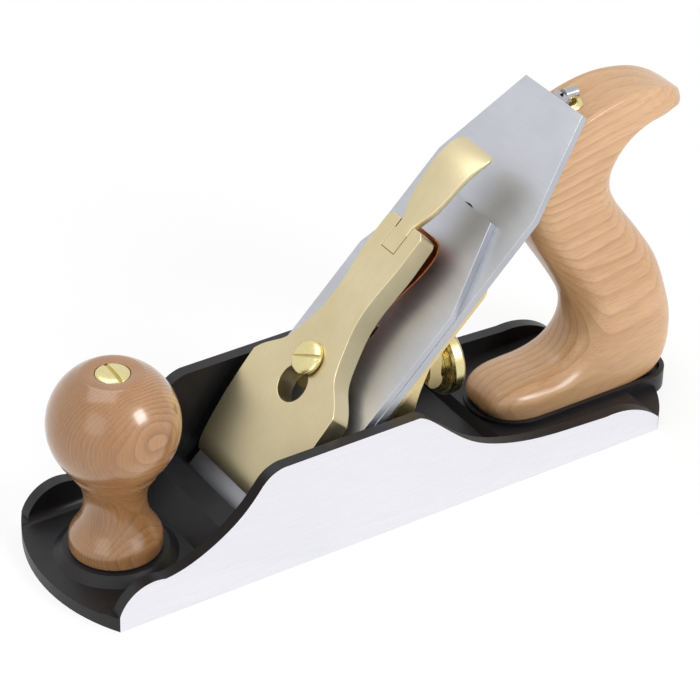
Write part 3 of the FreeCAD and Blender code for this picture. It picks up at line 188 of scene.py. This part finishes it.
@dataclass(frozen=True)
class JapannedCasting:
    """Iron casting: black japanned and slightly uneven inside, ground bright on the cheeks and the sole."""

    name: str = "japanned_iron_casting"
    black: str = "151518"
    black_high: str = "1c1b1e"
    bright: str = "f0f0f5"
    half_width_mm: float = 36.5
    grit_mm: float = 0.9

    def build(self) -> bpy.types.Material:
        """Makes the two finishes and parts them by the face's direction and place."""
        material = bpy.data.materials.new(self.name)
        material.use_nodes = True
        tree = material.node_tree
        output = tree.nodes["Material Output"]
        enamel = tree.nodes["Principled BSDF"]
        coordinates = add_node(tree, "ShaderNodeTexCoord")
        place = coordinates.outputs["Object"]
        grit = add_node(tree, "ShaderNodeTexNoise", {
            "Vector": place, "Scale": 1 / (self.grit_mm * MM), "Detail": 3.0, "Roughness": 0.55})
        waves = add_node(tree, "ShaderNodeTexNoise", {"Vector": place, "Scale": 90.0, "Detail": 1.0})
        height = add_node(tree, "ShaderNodeMath", {0: grit.outputs["Fac"], 1: 0.35, 2: waves.outputs["Fac"]},
                          operation="MULTIPLY_ADD")
        bump = add_node(tree, "ShaderNodeBump", {"Height": height.outputs[0], "Strength": 0.5,
                                                 "Distance": 0.0004})
        colour = ramp(tree, waves.outputs["Fac"], [(0.35, self.black), (0.7, self.black_high)])
        tree.links.new(colour, enamel.inputs["Base Color"])
        tree.links.new(bump.outputs["Normal"], enamel.inputs["Normal"])
        enamel.inputs["Roughness"].default_value = 0.4
        enamel.inputs["Specular IOR Level"].default_value = 0.32

        lines = add_node(tree, "ShaderNodeMapping", {"Vector": place, "Scale": (60.0, 60.0, 3200.0)})
        marks = add_node(tree, "ShaderNodeTexNoise", {"Vector": lines.outputs["Vector"], "Scale": 1.0,
                                                      "Detail": 3.0})
        bright_colour = ramp(tree, marks.outputs["Fac"], [(0.3, "eaeaf0"), (0.7, self.bright)])
        rough = add_node(tree, "ShaderNodeMapRange", {"Value": marks.outputs["Fac"], "To Min": 0.24,
                                                      "To Max": 0.34})
        bright = add_node(tree, "ShaderNodeBsdfPrincipled", {
            "Base Color": bright_colour, "Metallic": 1.0, "Roughness": rough.outputs["Result"]})

        split = add_node(tree, "ShaderNodeSeparateXYZ", {"Vector": place})
        facing = add_node(tree, "ShaderNodeSeparateXYZ", {"Vector": coordinates.outputs["Normal"]})
        side = self.beyond(tree, split.outputs["Y"], (self.half_width_mm - 0.08) * MM)
        flat = self.beyond(tree, facing.outputs["Y"], 0.9)
        cheek = add_node(tree, "ShaderNodeMath", {0: side, 1: flat}, operation="MULTIPLY")
        down = add_node(tree, "ShaderNodeMath", {0: facing.outputs["Z"], 1: -0.9}, operation="LESS_THAN")
        low = add_node(tree, "ShaderNodeMath", {0: split.outputs["Z"], 1: 0.1 * MM}, operation="LESS_THAN")
        sole = add_node(tree, "ShaderNodeMath", {0: down.outputs[0], 1: low.outputs[0]}, operation="MULTIPLY")
        ground = add_node(tree, "ShaderNodeMath", {0: cheek.outputs[0], 1: sole.outputs[0]},
                          operation="MAXIMUM")
        mix = add_node(tree, "ShaderNodeMixShader", {0: ground.outputs[0], 1: enamel.outputs["BSDF"],
                                                     2: bright.outputs["BSDF"]})
        tree.links.new(mix.outputs["Shader"], output.inputs["Surface"])
        return material

    @staticmethod
    def beyond(tree: bpy.types.NodeTree, source: bpy.types.NodeSocket, limit: float) -> bpy.types.NodeSocket:
        """One where a value lies further from zero than a limit, on either side."""
        size = add_node(tree, "ShaderNodeMath", {0: source}, operation="ABSOLUTE")
        test = add_node(tree, "ShaderNodeMath", {0: size.outputs[0], 1: limit}, operation="GREATER_THAN")
        return test.outputs[0]


@dataclass(frozen=True)
class Cherry:
    """Polished cherry: fine growth rings round an axis, short pores along it and a soft lacquer."""

    name: str
    pale: str
    middle: str
    line: str
    ring_mm: float
    turn: tuple[float, float, float]
    centre: tuple[float, float, float]
    ring_strength: tuple[float, float]
    roughness: float = 0.34
    coat: float = 0.3

    def build(self) -> bpy.types.Material:
        """Makes the wood: thin darker ring lines that wander a little over a mottled warm ground."""
        material = bpy.data.materials.new(self.name)
        material.use_nodes = True
        tree = material.node_tree
        shader = tree.nodes["Principled BSDF"]
        place = add_node(tree, "ShaderNodeTexCoord").outputs["Object"]
        moved = add_node(tree, "ShaderNodeVectorMath", {0: place, 1: self.centre}, operation="SUBTRACT")
        turned = add_node(tree, "ShaderNodeMapping", {"Vector": moved.outputs["Vector"], "Rotation": self.turn})
        grain = turned.outputs["Vector"]
        wander = self.stretched_noise(tree, grain, (26.0, 26.0, 13.0), 2.0)
        shift = add_node(tree, "ShaderNodeVectorMath", {0: wander.outputs["Color"], 1: (0.009, 0.009, 0.0)},
                         operation="MULTIPLY")
        warped = add_node(tree, "ShaderNodeVectorMath", {0: grain, 1: shift.outputs["Vector"]}, operation="ADD")
        rings = add_node(tree, "ShaderNodeTexWave", {
            "Vector": warped.outputs["Vector"], "Scale": 0.314 / (self.ring_mm * MM), "Distortion": 0.5,
            "Detail": 1.0, "Detail Scale": 0.5}, wave_type="RINGS", rings_direction="Z", wave_profile="SAW")
        ring_colour = ramp(tree, rings.outputs["Fac"], [(0.0, self.pale), (0.6, self.middle), (0.93, self.line),
                                                        (1.0, self.pale)])
        mottle = self.stretched_noise(tree, grain, (55.0, 55.0, 16.0), 3.0)
        ground = ramp(tree, mottle.outputs["Fac"], [(0.35, self.middle), (0.65, self.pale)])
        strength = add_node(tree, "ShaderNodeMapRange", {"Value": wander.outputs["Fac"], "From Min": 0.35,
                                                         "From Max": 0.65, "To Min": self.ring_strength[0],
                                                         "To Max": self.ring_strength[1]})
        mixed = add_node(tree, "ShaderNodeMix", {0: strength.outputs["Result"], 6: ground, 7: ring_colour},
                         data_type="RGBA")
        pores = self.stretched_noise(tree, grain, (1700.0, 1700.0, 130.0), 2.0)
        speck = add_node(tree, "ShaderNodeMapRange", {"Value": pores.outputs["Fac"], "From Min": 0.32,
                                                      "From Max": 0.55, "To Min": 0.86, "To Max": 1.0})
        final = add_node(tree, "ShaderNodeMix", {0: 1.0, 6: mixed.outputs[2], 7: speck.outputs["Result"]},
                         data_type="RGBA", blend_type="MULTIPLY")
        bump = add_node(tree, "ShaderNodeBump", {"Height": pores.outputs["Fac"], "Strength": 0.04,
                                                 "Distance": 0.0001})
        tree.links.new(final.outputs[2], shader.inputs["Base Color"])
        tree.links.new(bump.outputs["Normal"], shader.inputs["Normal"])
        shader.inputs["Roughness"].default_value = self.roughness
        shader.inputs["Coat Weight"].default_value = self.coat
        shader.inputs["Coat Roughness"].default_value = 0.14
        return material

    @staticmethod
    def stretched_noise(tree: bpy.types.NodeTree, grain: bpy.types.NodeSocket,
                        per_metre: tuple[float, float, float], detail: float) -> bpy.types.Node:
        """Noise whose spots are drawn out along the grain, its third axis."""
        scaled = add_node(tree, "ShaderNodeMapping", {"Vector": grain, "Scale": per_metre})
        return add_node(tree, "ShaderNodeTexNoise", {"Vector": scaled.outputs["Vector"], "Scale": 1.0,
                                                     "Detail": detail})


def finishes() -> dict[str, bpy.types.Material]:
    """Builds every finish once.

    Returns:
        Material slot name of the record to material.
    """
    made = {
        "casting": JapannedCasting(),
        "tote_wood": Cherry("satin_cherry_tote", "d2a980", "c4986c", "9d7045", 3.3,
                            (0.0, math.radians(97), 0.0), (0.10, 0.075, 0.022), (0.05, 0.5)),
        "knob_wood": Cherry("polished_cherry_knob", "ad8157", "9b6e45", "70492a", 1.15,
                            (math.radians(4), math.radians(-3), 0.0), (-0.1037, 0.037, 0.05), (0.2, 0.6), 0.26, 0.6),
        "bronze": Metal("machined_bronze", "ead9ac", "d2bd88", 0.34, Grain.NONE, 0.8, 0.02),
        "satin_brass": Metal("brushed_satin_brass", "d9cdaa", "c9bb94", 0.36, Grain.BRUSHED_ALONG_BED, 0.3, 0.02),
        "polished_brass": Metal("polished_brass", "e4d9aa", "d6c990", 0.26, Grain.TURNED, 0.5, 0.01),
        "spring_copper": Metal("phosphor_bronze_strip", "b9764c", "94552f", 0.3, Grain.NONE, 0.5, 0.01),
        "blade_steel": Metal("ground_tool_steel", "c2c4ca", "b3b5bb", 0.4, Grain.GROUND_ACROSS, 0.25, 0.02),
        "steel": Metal("turned_steel", "bfc0c4", "a6a7ab", 0.25, Grain.TURNED, 0.4, 0.01),
    }
    return {name: finish.build() for name, finish in made.items()}


# ------------------------------------------------------------------ meshes

BODY_OF = {node: body for body, nodes in frame["record"]["behaviour"]["bodies"].items() for node in nodes}
SLOT_OF = {part["node"]: part["material_slot"] for part in frame["record"]["subparts"]}


def finish_piece(bm: bmesh.types.BMesh, name: str, node: str, material: bpy.types.Material,
                 sharp: float = 35.0) -> bpy.types.Object:
    """Turns a bmesh into a piece that stands for a CAD node and rides with its body.

    Args:
        bm: the shape, which is freed.
        name: the piece's name.
        node: the CAD node it stands for.
        material: its finish.
        sharp: edges steeper than this many degrees stay crisp.

    Returns:
        The new object.
    """
    bmesh.ops.recalc_face_normals(bm, faces=bm.faces)
    for face in bm.faces:
        face.smooth = True
    for edge in bm.edges:
        if len(edge.link_faces) == 2 and edge.calc_face_angle(0.0) > math.radians(sharp):
            edge.smooth = False
    mesh = bpy.data.meshes.new(name)
    bm.to_mesh(mesh)
    bm.free()
    piece = bpy.data.objects.new(name, mesh)
    bpy.context.scene.collection.objects.link(piece)
    mesh.materials.append(material)
    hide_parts(node)
    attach(piece, BODY_OF[node])
    return piece


def softened(node: str, material: bpy.types.Material, width_mm: float, angle: float = 28.0) -> bpy.types.Object:
    """A copy of a CAD node with its hard edges broken by a small bevel.

    Args:
        node: the CAD node.
        material: its finish.
        width_mm: the bevel's width.
        angle: edges steeper than this many degrees are bevelled.

    Returns:
        The new object.
    """
    bm = bmesh.new()
    bm.from_mesh(frame["nodes"][node].data)
    bmesh.ops.remove_doubles(bm, verts=bm.verts, dist=1e-6)
    bmesh.ops.dissolve_limit(bm, angle_limit=math.radians(0.8), verts=bm.verts, edges=bm.edges)
    piece = finish_piece(bm, node + "_finished", node, material, 30.0)
    bevel = piece.modifiers.new("broken_edges", "BEVEL")
    bevel.width = width_mm * MM
    bevel.segments = 2
    bevel.limit_method = "ANGLE"
    bevel.angle_limit = math.radians(angle)
    bevel.use_clamp_overlap = True
    bevel.harden_normals = True
    return piece


def ring_loft(rings: Sequence[Sequence[Vector]]) -> bmesh.types.BMesh:
    """Joins closed rings of points into one skin and closes both ends.

    Args:
        rings: loops of equally many points, in order.

    Returns:
        The lofted shape.
    """
    bm = bmesh.new()
    loops = []
    for ring in rings:
        made = bmesh.ops.create_circle(bm, cap_ends=False, segments=len(ring), radius=1.0)["verts"]
        for vertex, point in zip(made, ring):
            vertex.co = point
        edges = {e for v in made for e in v.link_edges}
        loops.append((made, list(edges)))
    for (_, low), (_, high) in zip(loops, loops[1:]):
        bmesh.ops.bridge_loops(bm, edges=low + high)
    for made, _ in (loops[0], loops[-1]):
        bmesh.ops.contextual_create(bm, geom=made)
    return bm


def rounded_section(front: Vector, rear: Vector, half: float, front_round: float, rear_round: float,
                    steps: int = 8) -> list[Vector]:
    """A section with flat sides and rounded corners between two points of the side outline.

    Args:
        front: the section's front point.
        rear: its rear point.
        half: half its thickness across.
        front_round: radius of the two front corners.
        rear_round: radius of the two rear corners.
        steps: spans in each corner.

    Returns:
        The section's points in order.
    """
    length = (rear - front).length
    along = (rear - front) / length
    across = Vector((0, 1, 0))
    points = []
    corners = [(length - rear_round, half - rear_round, rear_round, 0),
               (front_round, half - front_round, front_round, 90),
               (front_round, front_round - half, front_round, 180),
               (length - rear_round, rear_round - half, rear_round, 270)]
    for run, side, radius, start in corners:
        for i in range(steps + 1):
            angle = math.radians(start + 90 * i / steps)
            points.append(front + along * (run + radius * math.cos(angle))
                          + across * (side + radius * math.sin(angle)))
    return points


def eased(keys: Sequence[Sequence[float]], spans: int) -> list[list[float]]:
    """Smooth rows between rows of values, by a Catmull-Rom curve through them.

    Args:
        keys: the rows to pass through.
        spans: new rows for each gap.

    Returns:
        The denser rows, ends included.
    """
    rows = []
    last = len(keys) - 1
    for i in range(last):
        near = [keys[max(i - 1, 0)], keys[i], keys[i + 1], keys[min(i + 2, last)]]
        for j in range(spans):
            t = j / spans
            rows.append([0.5 * (2 * b + (c - a) * t + (2 * a - 5 * b + 4 * c - d) * t * t
                                + (3 * b - a - 3 * c + d) * t ** 3) for a, b, c, d in zip(*near)])
    rows.append(list(keys[last]))
    return rows


@dataclass
class Tote:
    """The rear handle: a skin through sections from its foot, which fills the tray, to its horn.

    Each section is front x and z, rear x and z, half thickness, front and rear corner radius, in mm.
    """

    node: str = "tote"
    sections: list[tuple[float, ...]] = field(default_factory=lambda: [
        (55.9, 10.6, 56.7, 9.0, 2.6, 0.7, 0.7), (55.2, 13.0, 58.2, 8.4, 7.4, 2.2, 1.0),
        (56.2, 16.4, 61.5, 8.2, 11.2, 4.4, 1.0), (60.0, 19.6, 67.0, 8.2, 14.0, 6.8, 1.0),
        (66.0, 21.2, 75.0, 8.2, 15.7, 8.5, 1.0), (73.0, 21.8, 86.0, 8.2, 16.2, 10.0, 1.0),
        (79.0, 22.0, 98.0, 8.2, 16.2, 11.0, 1.2), (84.0, 23.0, 111.0, 8.2, 16.0, 11.8, 1.8),
        (88.5, 25.0, 123.0, 8.4, 15.7, 12.2, 3.5), (92.0, 28.0, 133.0, 10.0, 15.4, 12.5, 6.5),
        (94.4, 31.6, 138.6, 16.0, 15.1, 12.7, 9.0), (95.8, 35.4, 140.8, 24.5, 14.9, 12.8, 10.5),
        (96.2, 39.5, 140.6, 34.0, 14.7, 12.8, 11.2), (95.6, 43.8, 138.2, 43.5, 14.5, 12.7, 11.5),
        (94.0, 48.6, 135.6, 51.2, 14.4, 12.6, 11.5), (91.0, 54.0, 131.6, 60.5, 14.2, 12.5, 11.4),
        (84.5, 64.5, 123.5, 72.5, 14.1, 12.2, 11.2), (77.8, 74.6, 115.5, 83.2, 13.9, 11.4, 11.0),
        (72.2, 84.0, 110.4, 90.4, 13.8, 10.2, 10.8), (68.8, 94.0, 107.0, 97.8, 13.7, 8.6, 10.6),
        (68.0, 103.6, 106.6, 105.6, 13.6, 6.8, 10.2), (69.8, 113.0, 109.4, 112.0, 13.5, 4.8, 9.6),
        (75.0, 123.0, 113.0, 116.2, 13.3, 3.2, 9.0), (83.0, 130.5, 117.8, 119.6, 13.0, 2.2, 8.2),
        (95.0, 135.3, 123.0, 121.8, 12.7, 1.6, 7.2), (109.0, 137.6, 128.6, 122.8, 12.2, 1.4, 6.0),
        (122.0, 136.8, 132.6, 123.6, 10.8, 1.4, 4.6), (130.5, 134.2, 135.8, 124.3, 9.2, 1.4, 3.0),
        (135.6, 131.2, 138.0, 125.6, 6.6, 1.2, 2.0), (138.2, 129.2, 139.0, 127.2, 3.8, 0.7, 0.7)])

    def build(self, wood: bpy.types.Material) -> bpy.types.Object:
        """Lofts the sections into one smooth skin."""
        rings = []
        for front_x, front_z, rear_x, rear_z, half, front_round, rear_round in eased(self.sections, 3):
            front, rear = Vector((front_x, 0, front_z)) * MM, Vector((rear_x, 0, rear_z)) * MM
            rings.append(rounded_section(front, rear, half * MM, front_round * MM, rear_round * MM))
        piece = finish_piece(ring_loft(rings), "tote_shaped", self.node, wood, 50.0)
        smooth = piece.modifiers.new("smooth", "SUBSURF")
        smooth.levels = 1
        smooth.render_levels = 1
        return piece


@dataclass
class CamLever:
    """The cam lever: a barrel on its pin, a neck and a thumb plate that widens all the way to its curled tip.

    Each row is the middle of the plate up the bed and above it, its half width and its half thickness, in mm.
    """

    node: str = "cam_lever"
    barrel: float = 6.2
    barrel_place: float = 121.0
    barrel_height: float = 15.2
    half: float = 3.95
    face: float = 20.0
    rows: list[tuple[float, ...]] = field(default_factory=lambda: [
        (117.25, 18.6, 3.95, 1.35), (121.0, 18.5, 3.95, 1.45), (127.0, 18.5, 3.95, 1.5), (129.5, 18.5, 4.0, 1.5),
        (132.5, 18.5, 5.2, 1.45), (136.5, 18.6, 7.0, 1.3), (141.0, 18.7, 8.1, 1.2), (146.0, 18.8, 8.8, 1.1),
        (151.0, 18.8, 9.3, 1.05), (155.5, 18.4, 9.8, 1.0), (159.0, 17.6, 10.1, 0.95), (162.4, 16.4, 10.2, 0.85),
        (165.0, 15.0, 9.8, 0.7), (166.2, 14.2, 8.8, 0.45)])

    def build(self, brass: bpy.types.Material) -> bpy.types.Object:
        """Lofts the plate, adds the barrel and turns both into the bed's frame."""
        rows = eased(self.rows, 4)
        rings = []
        for i, (run, height, half, thick) in enumerate(rows):
            before, after = rows[max(i - 1, 0)], rows[min(i + 1, len(rows) - 1)]
            slope = math.atan2(after[1] - before[1], after[0] - before[0])
            across = Vector((-math.sin(slope), 0, math.cos(slope))) * thick
            middle = Vector((run, 0, min(height, self.face - thick)))
            ring = rounded_section(middle - across, middle + across, half, thick * 0.35, thick * 0.6, 4)
            rings.append([point * MM for point in ring])
        bm = ring_loft(rings)
        lower = bmesh.ops.create_cone(bm, cap_ends=True, segments=64, radius1=self.barrel * MM,
                                      radius2=self.barrel * MM, depth=2 * self.half * MM)["verts"]
        turn = Matrix.Rotation(math.radians(90), 4, "X")
        spot = Matrix.Translation(Vector((self.barrel_place, 0, self.barrel_height)) * MM)
        bmesh.ops.transform(bm, matrix=spot @ turn, verts=lower)
        for vertex in lower:
            vertex.co.z = min(vertex.co.z, (self.face - 0.02) * MM)
        bmesh.ops.transform(bm, matrix=bed_matrix(), verts=bm.verts)
        return finish_piece(bm, "cam_lever_shaped", self.node, brass, 35.0)


@dataclass
class CapSpring:
    """The copper-coloured leaf spring: flat under the cap to its rivet, then bowed down and round the cap's end.

    Each row is the strip's middle up the bed and above it, and its half width, in mm.
    """

    node: str = "cap_spring"
    half_thickness: float = 0.38
    rows: list[tuple[float, ...]] = field(default_factory=lambda: [
        (75.5, 8.13, 4.0), (84.0, 8.65, 5.0), (92.0, 9.15, 7.0), (98.0, 9.5, 8.4), (103.0, 9.45, 9.2),
        (109.0, 8.6, 9.6), (115.0, 7.5, 9.8), (120.5, 7.0, 9.9), (125.0, 7.3, 9.9), (128.2, 8.6, 9.8),
        (129.8, 10.6, 9.6), (130.1, 12.4, 9.2)])

    def build(self, copper: bpy.types.Material) -> bpy.types.Object:
        """Lofts the strip along its bowed path."""
        rows = eased(self.rows, 4)
        rings = []
        for i, (run, height, half) in enumerate(rows):
            before, after = rows[max(i - 1, 0)], rows[min(i + 1, len(rows) - 1)]
            slope = math.atan2(after[1] - before[1], after[0] - before[0])
            across = Vector((-math.sin(slope), 0, math.cos(slope))) * self.half_thickness
            middle = Vector((run, 0, height))
            ring = rounded_section(middle - across, middle + across, half, 0.2, 0.2, 2)
            rings.append([point * MM for point in ring])
        bm = ring_loft(rings)
        bmesh.ops.transform(bm, matrix=bed_matrix(), verts=bm.verts)
        return finish_piece(bm, "cap_spring_bowed", self.node, copper, 45.0)


@dataclass
class Knob:
    """The front knob: a turned ball on a waisted neck."""

    node: str = "knob"
    ball_radius: float = 24.2
    ball_height: float = 61.4
    nut_radius: float = 6.55
    profile: list[tuple[float, float]] = field(default_factory=lambda: [
        (16.6, 8.25), (17.2, 8.9), (17.25, 11.0), (17.2, 13.2), (16.7, 14.8), (15.4, 17.0), (13.3, 20.6),
        (12.0, 24.6), (11.5, 29.0), (12.0, 33.4), (13.6, 37.8), (16.0, 41.6)])

    def build(self, wood: bpy.types.Material) -> bpy.types.Object:
        """Spins the profile about the knob's axis, down into the recess that holds the nut."""
        low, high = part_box(self.node)
        axis_x = (low[0] + high[0]) / 2
        points = list(self.profile)
        start, end = -45.0, 62.5
        steps = 9
        for i in range(steps + 1):
            angle = math.radians(start + (end - start) * i / steps)
            points.append((self.ball_radius * math.cos(angle), self.ball_height + self.ball_radius * math.sin(angle)))
        points = [(0.0, self.profile[0][1])] + [tuple(row) for row in eased(points, 4)]
        top = high[2] / MM
        points += [(9.6, top - 0.05), (7.4, top - 0.02), (self.nut_radius, top - 0.25),
                   (self.nut_radius, top - 2.2), (0.0, top - 2.2)]
        bm = bmesh.new()
        made = [bm.verts.new(Vector((r, 0, z)) * MM) for r, z in points]
        edges = [bm.edges.new(pair) for pair in zip(made, made[1:])]
        bmesh.ops.spin(bm, geom=made + edges, axis=(0, 0, 1), cent=(0, 0, 0), angle=2 * math.pi, steps=96,
                       use_merge=True)
        bmesh.ops.remove_doubles(bm, verts=bm.verts, dist=1e-6)
        bmesh.ops.translate(bm, verts=bm.verts, vec=(axis_x, 0, 0))
        return finish_piece(bm, "knob_turned", self.node, wood, 50.0)


@dataclass
class SlottedHead:
    """A domed brass head with a driver slot: a nut or a screw."""

    node: str
    place: Matrix
    radius: float
    rim: float
    rise: float
    slot_width: float
    slot_depth: float
    shank: float
    shank_length: float

    def build(self, brass: bpy.types.Material) -> bpy.types.Object:
        """Spins the head and its shank, then cuts the slot with a boolean."""
        points = [(0.0, -self.shank_length), (self.shank, -self.shank_length), (self.shank, 0.0),
                  (self.radius - 0.25, 0.0), (self.radius, 0.25), (self.radius, self.rim)]
        steps = 9
        for i in range(1, steps + 1):
            angle = math.radians(90 * i / steps)
            points.append((self.radius * math.cos(angle) ** 0.8 if i < steps else 0.0,
                           self.rim + self.rise * math.sin(angle)))
        bm = bmesh.new()
        made = [bm.verts.new(Vector((r, 0, z)) * MM) for r, z in points]
        edges = [bm.edges.new(pair) for pair in zip(made, made[1:])]
        bmesh.ops.spin(bm, geom=made + edges, axis=(0, 0, 1), cent=(0, 0, 0), angle=2 * math.pi, steps=72,
                       use_merge=True)
        bmesh.ops.remove_doubles(bm, verts=bm.verts, dist=1e-6)
        bmesh.ops.recalc_face_normals(bm, faces=bm.faces)
        self.cut_slot(bm)
        bmesh.ops.transform(bm, matrix=self.place, verts=bm.verts)
        return finish_piece(bm, self.node + "_turned", self.node, brass, 40.0)

    def cut_slot(self, bm: bmesh.types.BMesh) -> None:
        """Cuts the driver slot across the top of the head."""
        top = self.rim + self.rise
        body, tool = bpy.data.meshes.new("head"), bpy.data.meshes.new("cutter")
        bm.to_mesh(body)
        cutter = bmesh.new()
        size = Vector((4 * self.radius, self.slot_width, 2 * self.slot_depth)) * MM
        bmesh.ops.create_cube(cutter, size=1.0)
        bmesh.ops.scale(cutter, vec=size, verts=cutter.verts)
        bmesh.ops.translate(cutter, vec=(0, 0, top * MM), verts=cutter.verts)
        cutter.to_mesh(tool)
        cutter.free()
        head, knife = bpy.data.objects.new("head", body), bpy.data.objects.new("knife", tool)
        scene = bpy.context.scene
        scene.collection.objects.link(head)
        scene.collection.objects.link(knife)
        boolean = head.modifiers.new("slot", "BOOLEAN")
        boolean.operation = "DIFFERENCE"
        boolean.solver = "EXACT"
        boolean.object = knife
        result = head.evaluated_get(bpy.context.evaluated_depsgraph_get()).to_mesh()
        bm.clear()
        bm.from_mesh(result)
        for thing in (head, knife):
            bpy.data.objects.remove(thing)


# ------------------------------------------------------------------ camera, light and floor

@dataclass(frozen=True)
class Studio:
    """A white studio: a long lens from the front left, large soft lamps and a white floor."""

    azimuth: float = -34.02
    elevation: float = 34.09
    roll: float = 1.68
    distance: float = 1.190
    target: tuple[float, float, float] = (-0.00404, -0.00004, 0.05777)
    pixels_per_turn: float = 3237.0
    frame_pixels: float = 700.0
    sensor: float = 36.0

    def camera(self) -> None:
        """Places the camera on its orbit round the target."""
        azimuth, elevation = math.radians(self.azimuth), math.radians(self.elevation)
        back = Vector((math.sin(azimuth) * math.cos(elevation), -math.cos(azimuth) * math.cos(elevation),
                       math.sin(elevation)))
        right = Vector((math.cos(azimuth), math.sin(azimuth), 0.0))
        up = back.cross(right)
        roll = math.radians(self.roll)
        right, up = right * math.cos(roll) + up * math.sin(roll), up * math.cos(roll) - right * math.sin(roll)
        data = bpy.data.cameras.new("camera")
        data.sensor_width = self.sensor
        data.lens = self.pixels_per_turn / self.frame_pixels * self.sensor
        data.clip_end = 20.0
        camera = bpy.data.objects.new("camera", data)
        turn = Matrix((right, up, back)).transposed().to_4x4()
        camera.matrix_world = Matrix.Translation(Vector(self.target) + back * self.distance) @ turn
        bpy.context.scene.collection.objects.link(camera)
        bpy.context.scene.camera = camera

    def lamp(self, name: str, place: tuple[float, float, float], size: tuple[float, float], power: float) -> None:
        """Adds a soft rectangular lamp that faces the object."""
        data = bpy.data.lights.new(name, "AREA")
        data.shape = "RECTANGLE"
        data.size, data.size_y = size
        data.energy = power
        lamp = bpy.data.objects.new(name, data)
        lamp.location = place
        lamp.rotation_euler = (Vector(place) - Vector(self.target)).to_track_quat("Z", "Y").to_euler()
        bpy.context.scene.collection.objects.link(lamp)

    def light(self) -> None:
        """Adds the lamps, and a world that is white to the eye and in reflections."""
        self.lamp("overhead", (-0.3, 0.3, 1.5), (1.2, 1.2), 9.0)
        self.lamp("key", (0.49, -1.13, 0.85), (0.5, 0.5), 10.5)
        self.lamp("left_fill", (-1.3, -0.6, 0.8), (0.9, 0.9), 3.0)
        world = bpy.data.worlds.new("studio")
        world.use_nodes = True
        tree = world.node_tree
        path = add_node(tree, "ShaderNodeLightPath")
        seen = add_node(tree, "ShaderNodeMath", {0: path.outputs["Is Camera Ray"],
                                                 1: path.outputs["Is Transmission Ray"]}, operation="MAXIMUM")
        mirrored = add_node(tree, "ShaderNodeMath", {0: seen.outputs[0], 1: path.outputs["Is Glossy Ray"]},
                            operation="MAXIMUM")
        strength = add_node(tree, "ShaderNodeMapRange", {"Value": mirrored.outputs[0], "To Min": 0.5,
                                                         "To Max": 1.0})
        background = tree.nodes["Background"]
        background.inputs["Color"].default_value = linear("ffffff")
        tree.links.new(strength.outputs["Result"], background.inputs["Strength"])
        bpy.context.scene.world = world

    def floor(self) -> None:
        """Adds the white floor, which shows white and keeps a faint shadow."""
        bm = bmesh.new()
        bmesh.ops.create_grid(bm, x_segments=1, y_segments=1, size=6.0)
        bmesh.ops.translate(bm, vec=(0, 0, -0.0003), verts=bm.verts)
        mesh = bpy.data.meshes.new("floor")
        bm.to_mesh(mesh)
        bm.free()
        floor = bpy.data.objects.new("floor", mesh)
        bpy.context.scene.collection.objects.link(floor)
        material = bpy.data.materials.new("white_paper")
        material.use_nodes = True
        tree = material.node_tree
        paper = tree.nodes["Principled BSDF"]
        paper.inputs["Base Color"].default_value = linear("ffffff")
        paper.inputs["Roughness"].default_value = 1.0
        paper.inputs["Specular IOR Level"].default_value = 0.0
        glow = add_node(tree, "ShaderNodeEmission", {"Color": linear("ffffff"), "Strength": 1.0})
        path = add_node(tree, "ShaderNodeLightPath")
        shown = add_node(tree, "ShaderNodeMath", {0: path.outputs["Is Camera Ray"],
                                                  1: path.outputs["Is Glossy Ray"]}, operation="MAXIMUM")
        share = add_node(tree, "ShaderNodeMath", {0: shown.outputs[0], 1: 0.8}, operation="MULTIPLY")
        mix = add_node(tree, "ShaderNodeMixShader", {0: share.outputs[0], 1: paper.outputs["BSDF"],
                                                     2: glow.outputs["Emission"]})
        tree.links.new(mix.outputs["Shader"], tree.nodes["Material Output"].inputs["Surface"])
        mesh.materials.append(material)
        floor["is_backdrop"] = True


# ------------------------------------------------------------------ assembly

def bed_matrix() -> Matrix:
    """The bed frame: X up the blade, Z out of its back."""
    return Matrix.Translation((-0.0576, 0, 0)) @ Matrix.Rotation(math.radians(-45), 4, "Y")


def build_pieces(materials: dict[str, bpy.types.Material]) -> None:
    """Dresses the CAD nodes and builds the detailed pieces.

    Args:
        materials: slot name to material.
    """
    for node, piece in frame["nodes"].items():
        material = materials[SLOT_OF[node]]
        piece.data.materials.clear()
        piece.data.materials.append(material)
    Tote().build(materials["tote_wood"])
    Knob().build(materials["knob_wood"])
    softened("body_casting", materials["casting"], 0.9)
    softened("lever_cap", materials["satin_brass"], 0.3)
    softened("blade", materials["blade_steel"], 0.15)
    softened("chipbreaker", materials["blade_steel"], 0.15)
    softened("frog", materials["bronze"], 0.25)
    softened("yoke", materials["bronze"], 0.4)
    CamLever().build(materials["satin_brass"])
    CapSpring().build(materials["spring_copper"])
    softened("depth_nut", materials["polished_brass"], 0.3)
    low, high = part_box("knob_nut")
    centre = (Vector(low) + Vector(high)) / 2
    place = Matrix.Translation((centre.x, centre.y, low[2])) @ Matrix.Rotation(math.radians(88), 4, "Z")
    SlottedHead("knob_nut", place, 6.35, 2.3, 1.25, 1.5, 1.5, 2.9, 0.0).build(materials["polished_brass"])
    head = bed_matrix() @ Matrix.Translation((0.0677, 0, 0.01775)) @ Matrix.Rotation(math.radians(-60), 4, "Z")
    SlottedHead("cap_screw", head, 6.85, 1.0, 1.6, 1.5, 1.4, 3.85, 27.9).build(materials["polished_brass"])


def main() -> None:
    """Builds the finishes, the pieces and the studio."""
    scene = bpy.context.scene
    scene.view_settings.view_transform = "Standard"
    studio = Studio()
    studio.camera()
    studio.light()
    studio.floor()
    build_pieces(finishes())
    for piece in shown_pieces():
        LOG.info("piece %s: %d faces", piece.name, len(piece.data.polygons))


if __name__ == "__main__":
    main()
